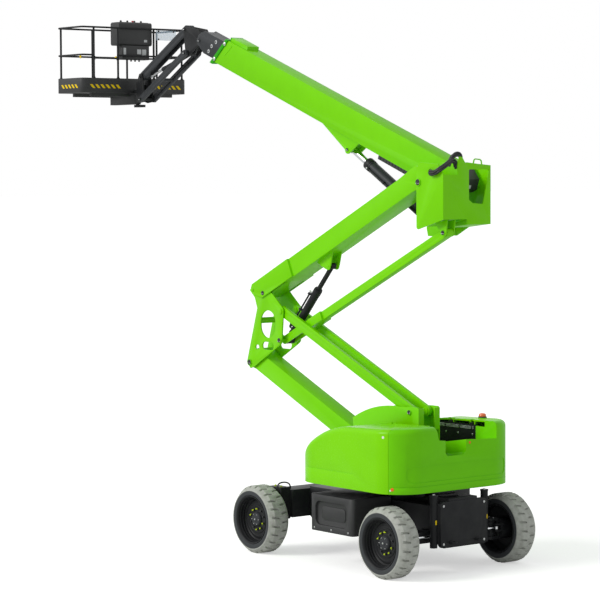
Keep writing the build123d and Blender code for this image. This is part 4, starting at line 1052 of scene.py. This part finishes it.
# ---------------------------------------------------------------- riser
@dataclass
class RiserTrim:
    """Lines and fittings of the riser's cylinder, the hose bundles and pin ends at the top."""

    def build(self) -> None:
        """Builds the riser's trim."""
        self._cylinder()
        self._bundle()
        self._bracket_pins()

    def _cylinder(self) -> None:
        """Gland, port blocks and the slim steel line along the riser's cylinder."""
        ram = link_along("riser_barrel_pivot", "riser_rod_slide", 0.0)
        gland = ram.bands(0, ((0.960, 1.035, 0.065), (0.925, 0.945, 0.063), (0.120, 0.150, 0.064)), 40, 0.003)
        gland.into("riser_ram_gland", BLACK_STEEL, "riser_barrel")
        line = Blank()
        for y, w in ((0.030, 0.078), (0.058, 0.066)):
            line.bar(ram.at(0.200, w, y), ram.at(0.930, w, y), 0.009, sides=14)
        for s in (0.240, 0.560, 0.880):
            line.block((s, 0.050, 0.018), (s + 0.026, 0.090, 0.070), 0.002, ram.place())
        line.into("riser_ram_line", CHARCOAL_STEEL, "riser_barrel")
        fitting = Blank()
        for s in (0.205, 0.930):
            fitting.bar(ram.at(s, 0.045, 0.044), ram.at(s, 0.098, 0.044), 0.014, sides=6, rounding=0.001)
        fitting.into("riser_ram_fittings", ZINC, "riser_barrel")

    def _bundle(self) -> None:
        """Bundles of hoses from the eye in the near plate up to the strap lug, and over it into the bay."""
        # name, hoses, radius, middle line
        for name, count, radius, line in (
                ("eye", 6, 0.0145,
                 ((-1.298, 0.150, 5.462), (-1.303, 0.222, 5.462), (-1.370, 0.240, 5.450),
                  (-1.450, 0.240, 5.460), (-1.512, 0.232, 5.496), (-1.536, 0.165, 5.540),
                  (-1.526, 0.080, 5.585), (-1.512, 0.010, 5.622), (-1.508, -0.040, 5.622),
                  (-1.510, -0.070, 5.580), (-1.510, -0.078, 5.530))),
                ("strap", 4, 0.0145,
                 ((-1.470, 0.020, 5.560), (-1.490, -0.005, 5.660), (-1.500, -0.060, 5.706),
                  (-1.500, -0.130, 5.712), (-1.490, -0.190, 5.670), (-1.470, -0.205, 5.590),
                  (-1.460, -0.205, 5.500)))):
            for index in range(count):
                turn = math.tau * index / (count - 1)
                ring = 0.0 if index == count - 1 else radius * 1.75
                flat = ring * math.cos(turn) * 0.5
                shift = Vector((flat, flat, ring * math.sin(turn)))
                hose(f"knuckle_{name}_hose_{index + 1}", [Vector(point) + shift for point in line], radius,
                     "top_knuckle")

    def _bracket_pins(self) -> None:
        """Pin ends of the upper tie at the top knuckle."""
        low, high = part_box("upper_tie")
        end = Vector((low.x + 0.060, 0.0, high.z - 0.060))
        PinKeepers().both("k2", "top_knuckle", end, 0.0, 0.092, 0.034)


# ---------------------------------------------------------------- main boom
@dataclass
class MainBoomTrim:
    """Black sheet of painted shade on the root end, collar, wear pads, hose carrier and the lines of the lift
    cylinder.
    """

    half_width: float = 0.150
    chain_start: float = 1.02
    chain_pitch: float = 0.068
    chain_links: int = 11
    chain_w: float = -0.300
    chain_high: float = -0.222

    def __post_init__(self) -> None:
        """Finds the boom's frame from its root pin and its slide."""
        root = pin_of("boom_lift")
        self.link = LinkFrame(root, root + Vector(JOINTS["telescope"]["axis"]))

    def build(self) -> None:
        """Builds the boom's trim."""
        self._root_painted_shade()
        self._collar()
        self._wear_pads()
        self._hose_tray()
        self._lift_cylinder()

    def _root_painted_shade(self) -> None:
        """Black sheet over the boom's root end, painted shade for its dark hollow, with a bare pale tag on it."""
        band = [(0.062, 0.208), (-0.123, 0.0915), (-0.123, -0.0615), (-0.061, -0.1235), (-0.058, -0.117),
                (-0.117, -0.0588), (-0.117, 0.088), (0.058, 0.202)]
        # The black sheet is painted shade: it darkens the hollow root end, which lies in shadow.
        cap = Blank().plate(band, 0.290, self.link.place(BOOM_Y - 0.145))
        cap.into("boom_root_painted_shade", BLACK_MOULD, "outer_boom", Slot.BLACK_PLASTIC)
        tag = Blank().block((-0.1245, -0.045, -0.020), (-0.1215, 0.005, 0.100), 0.0004, self.link.place(BOOM_Y))
        tag.into("boom_root_tag", PALE_LABEL, "outer_boom", Slot.BLACK_PLASTIC)

    def _collar(self) -> None:
        """Silver bolts and a stiffening bead on the slanted collar."""
        for side, label in SIDES:
            y = BOOM_Y + side * (self.half_width + 0.018)
            feet = [self.link.at(s, w, y) for s, w in ((5.745, 0.135), (5.925, -0.165))]
            bolts = Blank()
            for foot in feet:
                bolts.spun([(0.0, 0.010), (0.018, 0.010), (0.024, 0.004), (0.030, 0.002), (0.030, -0.004),
                            (0.0, -0.004)], foot, ACROSS * side, 24)
                bolts.bolts([foot + ACROSS * side * 0.008], ACROSS * side, 0.022, 0.010, False)
            bolts.into("collar_bolts_" + label, ZINC, "outer_boom", Slot.CHROME_ROD)
            bead = Blank().plate([(5.560, 0.150), (5.700, -0.040), (5.716, -0.030), (5.576, 0.162)],
                                 0.006 * side, self.link.place(BOOM_Y + side * (self.half_width - 0.001)))
            bead.into("collar_bead_" + label, LIME, "outer_boom", Slot.GREEN_PAINT)

    def _wear_pads(self) -> None:
        """Pale pads with their bolts on the inner boom in front of the collar."""
        face = Blank()
        bolts = Blank()
        for side in (1, -1):
            y = BOOM_Y + side * 0.115
            for s, w in ((6.03, 0.075), (6.17, -0.120), (6.12, -0.020)):
                face.spun([(0.0, 0.005), (0.026, 0.005), (0.030, 0.002), (0.030, -0.003), (0.0, -0.003)],
                          self.link.at(s, w, y), ACROSS * side, 24)
                bolts.bolts([self.link.at(s, w, y + side * 0.004)], ACROSS * side, 0.020, 0.009, False)
        face.into("inner_boom_pads", PALE_LABEL, "inner_boom", Slot.CHROME_ROD)
        bolts.into("inner_boom_pad_bolts", DARK_PIN, "inner_boom")

    def _hose_tray(self) -> None:
        """Short carrier chain and its hoses, under the boom near its root."""
        links = Blank()
        place = self.link.place()
        for index in range(self.chain_links):
            s = self.chain_start + index * self.chain_pitch
            for y in (BOOM_Y - 0.085, BOOM_Y + 0.073):
                links.block((s, self.chain_w, y), (s + self.chain_pitch * 0.92, self.chain_high, y + 0.012),
                            0.004, place)
            for w in (-0.292, -0.236):
                links.block((s + 0.012, w, BOOM_Y - 0.080), (s + 0.030, w + 0.008, BOOM_Y + 0.080), 0.002,
                            place)
        links.into("hose_carrier_chain", BLACK_MOULD, "outer_boom", Slot.BLACK_PLASTIC)
        for index in range(5):
            y = BOOM_Y - 0.058 + index * 0.029
            hose(f"carried_hose_{index + 1}", [self.link.at(s, -0.262, y) for s in (1.0, 1.25, 1.5, 1.78)],
                 0.010, "outer_boom")

    def _lift_cylinder(self) -> None:
        """Bands, fittings and slim line of the lift cylinder, and the pin ends at its rod's eye."""
        ram = link_along("lift_barrel_pivot", "lift_rod_slide", BOOM_Y)
        gland = ram.bands(BOOM_Y, ((1.760, 1.852, 0.091), (1.725, 1.742, 0.089), (0.170, 0.205, 0.090)), 48,
                          0.004)
        gland.into("lift_ram_gland", BLACK_STEEL, "lift_barrel")
        line = Blank().bar(ram.at(0.260, -0.012, BOOM_Y + 0.099), ram.at(1.735, -0.012, BOOM_Y + 0.099), 0.011,
                           sides=16)
        for s in (0.300, 0.800, 1.300, 1.700):
            line.block((s, -0.032, BOOM_Y + 0.070), (s + 0.030, 0.010, BOOM_Y + 0.114), 0.002, ram.place())
        line.into("lift_ram_line", BLACK_STEEL, "lift_barrel")
        fitting = Blank()
        for s in (0.265, 1.735):
            fitting.bar(ram.at(s, -0.012, BOOM_Y + 0.075), ram.at(s, -0.012, BOOM_Y + 0.122), 0.017, sides=6,
                        rounding=0.001)
        fitting.into("lift_ram_fittings", ZINC, "lift_barrel")
        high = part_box("lift_cylinder_rod")[1]
        eye = Vector((high.x - 0.055, 0, high.z - 0.055))
        PinKeepers().both("u4", "outer_boom", eye, BOOM_Y, 0.124, 0.024)


# ---------------------------------------------------------------- nose and jib
@dataclass
class JibTrim:
    """Hose loops in the nose bracket, pin ends and the lines along the jib."""

    def build(self) -> None:
        """Builds the trim of the nose and the jib."""
        self._hose_loops()
        self._pin_ends()
        self._arm_lines()

    def _hose_loops(self) -> None:
        """Loops of hose that hang between the side plates of the nose bracket."""
        nose, upper = pin_of("nose_level"), pin_of("jib_tie_pivot")
        for index in range(5):
            y = BOOM_Y - 0.060 + index * 0.030
            drop = 0.050 * (index % 3)
            hose(f"nose_hose_{index + 1}",
                 [(nose.x + 0.075, y, nose.z + 0.120), (nose.x + 0.130, y, nose.z + 0.140),
                  (nose.x + 0.200, y, nose.z + 0.060), (nose.x + 0.225, y, nose.z - 0.060 - drop),
                  (nose.x + 0.275, y, nose.z - 0.105 - drop), (nose.x + 0.330, y, nose.z - 0.050 - drop),
                  (nose.x + 0.345, y, nose.z + 0.060), (upper.x - 0.040, y, upper.z - 0.040)],
                 0.011, "boom_nose", CHARCOAL_HOSE)

    def _pin_ends(self) -> None:
        """Pin ends of the nose, both arms and the end bracket."""
        # name, body, joint, distance of the faces from the jib's middle plane, radius
        for name, body, joint, reach, radius in (
                ("nose", "inner_boom", "nose_level", 0.127, 0.030),
                ("j1", "boom_nose", "jib_tie_pivot", 0.112, 0.020),
                ("j2", "boom_nose", "jib_lift", 0.164, 0.022),
                ("j4", "jib_carrier", "carrier_level", 0.164, 0.022)):
            PinKeepers().both(name, body, pin_of(joint), BOOM_Y, reach, radius)

    def _arm_lines(self) -> None:
        """Hoses clipped along the lower arms, and the bands of the jib's cylinder."""
        arm = LinkFrame(pin_of("jib_lift"), pin_of("carrier_level"))
        long = (arm.end - arm.start).length
        clips = Blank()
        for side, label in SIDES:
            y = BOOM_Y + side * 0.092
            for share in (0.2, 0.5, 0.8):
                clips.block((long * share, -0.020, y - 0.016), (long * share + 0.022, 0.020, y + 0.016), 0.002,
                            arm.place())
            hose("jib_hose_" + label,
                 [arm.at(long * share, 0.0, y) for share in (0.08, 0.35, 0.65, 0.92)], 0.010, "jib_arms")
        clips.into("jib_hose_clips", BLACK_MOULD, "jib_arms", Slot.BLACK_PLASTIC)
        ram = link_along("jib_barrel_pivot", "jib_rod_slide", BOOM_Y)
        gland = ram.bands(BOOM_Y, ((0.770, 0.832, 0.038), (0.745, 0.756, 0.037)), 32, 0.002)
        gland.into("jib_ram_gland", CHARCOAL_STEEL, "jib_barrel")


# ---------------------------------------------------------------- basket
@dataclass
class BasketTrim:
    """Hazard marks, floor plate, console controls, rail fittings and anchor points."""

    mark_pitch: float = 0.100
    mark_width: float = 0.048
    mark_slope: float = 0.055
    mark_depth: float = 0.0022
    carrier_from: float = -0.86        # the carrier post covers the rear marks between these
    carrier_to: float = -0.24
    tray_x: float = 6.770
    tray_top: float = 7.017

    def __post_init__(self) -> None:
        """Reads the tray's and the console's places."""
        self.tray_low, self.tray_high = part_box("basket_tray")
        self.rails_low, self.rails_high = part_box("basket_rails")
        self.console_low, self.console_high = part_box("control_console")

    def build(self) -> None:
        """Builds the basket's trim."""
        self._hazard_marks()
        self._floor()
        self._console()
        self._rail_fittings()

    def _hazard_marks(self) -> None:
        """Slanted yellow marks on the tray's sides."""
        low_x, high_x = self.tray_x, self.tray_high.x
        y0, y1 = self.tray_low.y, self.tray_high.y
        marks = Blank()
        z0, z1 = self.tray_top - 0.165, self.tray_top - 0.105
        shape = [(0.0, z0), (self.mark_width, z0), (self.mark_width + self.mark_slope, z1),
                 (self.mark_slope, z1)]
        for side, x in ((-1, low_x + 0.001), (1, high_x - 0.001)):
            for index in range(18):
                y = y0 + 0.115 + index * self.mark_pitch
                if side > 0 or not self.carrier_from < y < self.carrier_to:
                    marks.plate([(y + a, b) for a, b in shape], self.mark_depth, facing_x(x, side))
        for side, y in ((1, y1), (-1, y0)):
            end = facing_y(0, y - side * 0.001, 0, side)
            for index in range(5):
                x = low_x + 0.120 + index * self.mark_pitch
                marks.plate([(x + a, b) for a, b in shape], self.mark_depth, end)
        marks.into("tray_hazard_marks", HAZARD_YELLOW, "basket", Slot.BLACK_PLASTIC)

    def _floor(self) -> None:
        """Studded floor sheet in the tray and the foot switch."""
        low = (6.815, self.tray_low.y + 0.045, 6.802)
        high = (self.tray_high.x - 0.045, self.tray_high.y - 0.045, 6.806)
        sheet = Blank().block(low, high)
        rows, columns = 12, 34
        for i in range(rows):
            for j in range(columns):
                x = low[0] + 0.03 + (high[0] - low[0] - 0.06) * i / (rows - 1)
                y = low[1] + 0.03 + (high[1] - low[1] - 0.06) * j / (columns - 1)
                turn = 1 if (i + j) % 2 else -1
                sheet.bar((x - 0.013, y - 0.013 * turn, 6.807), (x + 0.013, y + 0.013 * turn, 6.807), 0.0035,
                          sides=5)
        sheet.into("basket_floor_sheet", ZINC, "basket")
        pedal = Blank().block((6.98, -0.60, 6.808), (7.16, -0.44, 6.850), 0.008)
        pedal.plate([(-0.08, 0.0), (0.08, 0.0), (0.08, 0.012), (-0.08, 0.030)], 0.13,
                    facing_y(7.07, -0.585, 6.852, 1), 0.002)
        pedal.into("foot_switch", BLACK_MOULD, "basket", Slot.BLACK_PLASTIC)

    def _console(self) -> None:
        """Controls on the console: panel, levers, stop button, bare labels and cable glands."""
        low, high = self.console_low, self.console_high
        top = high.z
        middle = (low.y + high.y) / 2
        deck = Blank().block((low.x + 0.035, low.y + 0.05, top - 0.002),
                             (high.x - 0.035, high.y - 0.05, top + 0.004), 0.002)
        deck.into("console_panel", CHARCOAL_STEEL, "basket", Slot.BLACK_PLASTIC)
        levers = Blank()
        for y in (middle - 0.20, middle - 0.07, middle + 0.07, middle + 0.20):
            levers.spun([(0.0, 0.036), (0.010, 0.034), (0.0165, 0.026), (0.017, 0.012), (0.024, 0.004),
                         (0.030, 0.0), (0.0, 0.0)], (low.x + 0.135, y, top + 0.003), UP, 20)
        levers.into("console_levers", BLACK_MOULD, "basket", Slot.BLACK_PLASTIC)
        stop = Blank().spun([(0.0, 0.030), (0.014, 0.028), (0.021, 0.021), (0.021, 0.015), (0.012, 0.012),
                             (0.012, 0.0), (0.0, 0.0)], (low.x + 0.085, middle, top + 0.003), UP, 24)
        stop.into("console_stop_button", SIGNAL_RED, "basket", Slot.BLACK_PLASTIC)
        labels = Blank()
        for y0, y1, z0, z1 in ((-0.70, -0.62, 7.40, 7.50), (-0.60, -0.52, 7.42, 7.50),
                               (-0.30, -0.25, 7.41, 7.52), (-0.72, -0.66, 7.62, 7.66)):
            labels.block((low.x - 0.0018, y0, z0), (low.x + 0.001, y1, z1), 0.0004)
        labels.into("console_bare_labels", PALE_LABEL, "basket", Slot.BLACK_PLASTIC)
        glands = Blank()
        for index in range(4):
            y = middle - 0.12 + index * 0.08
            glands.bar((low.x + 0.08, y, low.z - 0.028), (low.x + 0.08, y, low.z + 0.002), 0.014, sides=12,
                       rounding=0.001)
        glands.into("console_glands", BLACK_MOULD, "basket", Slot.BLACK_PLASTIC)

    def _rail_fittings(self) -> None:
        """Weld collars on the posts, anchor lugs and clips of the clear sheet."""
        collars = Blank()
        rear_x, front_x = self.rails_low.x + 0.017, self.rails_high.x - 0.017
        y0, y1 = self.tray_low.y + 0.080, self.tray_high.y - 0.080
        for x, y in ((rear_x, y0), (rear_x, -0.840), (rear_x, -0.130), (rear_x, 0.340), (front_x, y0),
                     (front_x, -0.800), (front_x, -0.110), (front_x, y1)):
            collars.spun([(0.017, 0.0), (0.030, 0.0), (0.030, 0.006), (0.021, 0.010), (0.020, 0.022),
                          (0.017, 0.024)], (x, y, self.tray_top), UP, 20)
        collars.into("post_feet", BLACK_STEEL, "basket")
        lugs = Blank()
        for y in (-1.15, -0.55, 0.15):
            place = facing_y(front_x - 0.052, y, 7.39, 1)
            lugs.plate([(0.0, -0.030), (0.040, -0.014), (0.040, 0.014), (0.0, 0.030), (-0.012, 0.018),
                        (-0.012, -0.018)], 0.006, place, 0.001)
        lugs.into("anchor_lugs", HAZARD_YELLOW, "basket")
        clips = Blank()
        screen_low, screen_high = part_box("side_screen")
        for y in (screen_low.y + 0.05, screen_high.y - 0.05):
            clips.block((screen_low.x - 0.006, y - 0.012, screen_high.z - 0.030),
                        (screen_high.x + 0.006, y + 0.012, screen_high.z - 0.004), 0.001)
            clips.block((screen_low.x - 0.006, y - 0.012, screen_low.z + 0.004),
                        (screen_high.x + 0.006, y + 0.012, screen_low.z + 0.030), 0.001)
        clips.into("screen_clips", BLACK_MOULD, "basket", Slot.BLACK_PLASTIC)


# ---------------------------------------------------------------- chassis
@dataclass
class ChassisTrim:
    """Bolts, bare panels, hoses and marks on the chassis, its axles and its end panel."""

    panel_x: float = -1.750
    steer_x: float = -1.425
    pod_y: float = 1.060
    bolt_ring: float = 0.350

    def build(self) -> None:
        """Builds the chassis trim."""
        self._end_panel()
        self._slew_bolts()
        self._pods()
        self._drive_ends()
        self._steer_ends()

    def _end_panel(self) -> None:
        """Bolts and marks of the end panel and its posts."""
        bolts = Blank().bolts([(self.panel_x, y, z) for y in (-0.37, 0.37) for z in (0.43, 0.95)], -ALONG,
                              0.020, 0.009)
        bolts.bolts([(-1.650, side * 0.465, 1.100) for side in (-1, 1)], UP, 0.030, 0.014)
        bolts.into("end_panel_bolts", ZINC, "chassis")
        marks = Blank()
        for side in (-1, 1):
            marks.block((-1.704, side * 0.465 - 0.012, 0.70), (-1.7005, side * 0.465 + 0.012, 0.76), 0.0004)
        marks.into("end_post_marks", HAZARD_YELLOW, "chassis")
        rubber = Blank().block((-1.40, -0.20, 1.040), (-1.30, 0.20, 1.052), 0.003)
        rubber.into("end_block_strip", BLACK_MOULD, "chassis", Slot.BLACK_PLASTIC)

    def _slew_bolts(self) -> None:
        """Ring of bolts at the foot of the slewing ring."""
        low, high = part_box("slew_ring")
        centre = (low + high) / 2
        turns = [math.radians(turn) for turn in range(0, 360, 15)]
        feet = [(centre.x + self.bolt_ring * math.cos(turn), centre.y + self.bolt_ring * math.sin(turn), 1.010)
                for turn in turns]
        Blank().bolts(feet, UP, 0.024, 0.014).into("slew_ring_bolts", ZINC, "chassis")

    def _pods(self) -> None:
        """Bolts and the bare raised panel of the side pods."""
        for side, label in SIDES:
            face = facing_y(0, side * (self.pod_y - 0.001), 0, side)
            panel = Blank().plate(round_corners((-0.500, 0.640), (0.020, 0.830), 0.060), 0.008, face, 0.002)
            panel.into("pod_panel_" + label, BLACK_MOULD, "chassis", Slot.BLACK_PLASTIC)
            bolts = Blank().bolts([(x, side * 1.100, 0.52) for x in (-0.60, -0.23, 0.14)], ACROSS * side, 0.016,
                                  0.006)
            bolts.into("pod_bolts_" + label, ZINC, "chassis", Slot.BLACK_PLASTIC)

    def _drive_ends(self) -> None:
        """Yellow caps and hoses at the ends of the driven axle."""
        for side, label in SIDES:
            caps = Blank()
            for x, z in ((1.285, 0.895), (1.420, 0.895)):
                caps.bar((x, side * 0.800, z + 0.044), (x, side * 0.800, z + 0.066), 0.015, 0.011, 12)
            caps.into("drive_caps_" + label, TAG_YELLOW, "chassis")
            hose("drive_hose_" + label,
                 [(1.300, side * 0.62, 0.902), (1.300, side * 0.62, 0.960), (1.300, side * 0.70, 1.000),
                  (1.300, side * 0.80, 1.000), (1.300, side * 0.85, 0.975), (1.300, side * 0.852, 0.942)],
                 0.011, "chassis")

    def _steer_ends(self) -> None:
        """Bolts on the steered knuckles."""
        for side, label in SIDES:
            bolts = Blank().bolts([(self.steer_x + x, side * 0.80, 0.648) for x in (-0.045, 0.045)], UP, 0.018,
                                  0.009)
            bolts.into("knuckle_bolts_" + label, ZINC, "knuckle_" + label)


# ---------------------------------------------------------------- build
def main() -> None:
    """Builds the machine's looks round the frame."""
    logging.basicConfig(level=logging.INFO, format="%(name)s: %(message)s")
    Studio().build()
    FramePieces().build()
    for name in ("steer_left", "steer_right", "drive_left", "drive_right"):
        Wheel(name).build()
    for assembly in (PinKeepers(), TurretTrim(), RiserTrim(), MainBoomTrim(), JibTrim(), BasketTrim(),
                     ChassisTrim()):
        assembly.build()
        LOG.info("%s built", type(assembly).__name__)


if __name__ == "__main__":
    main()
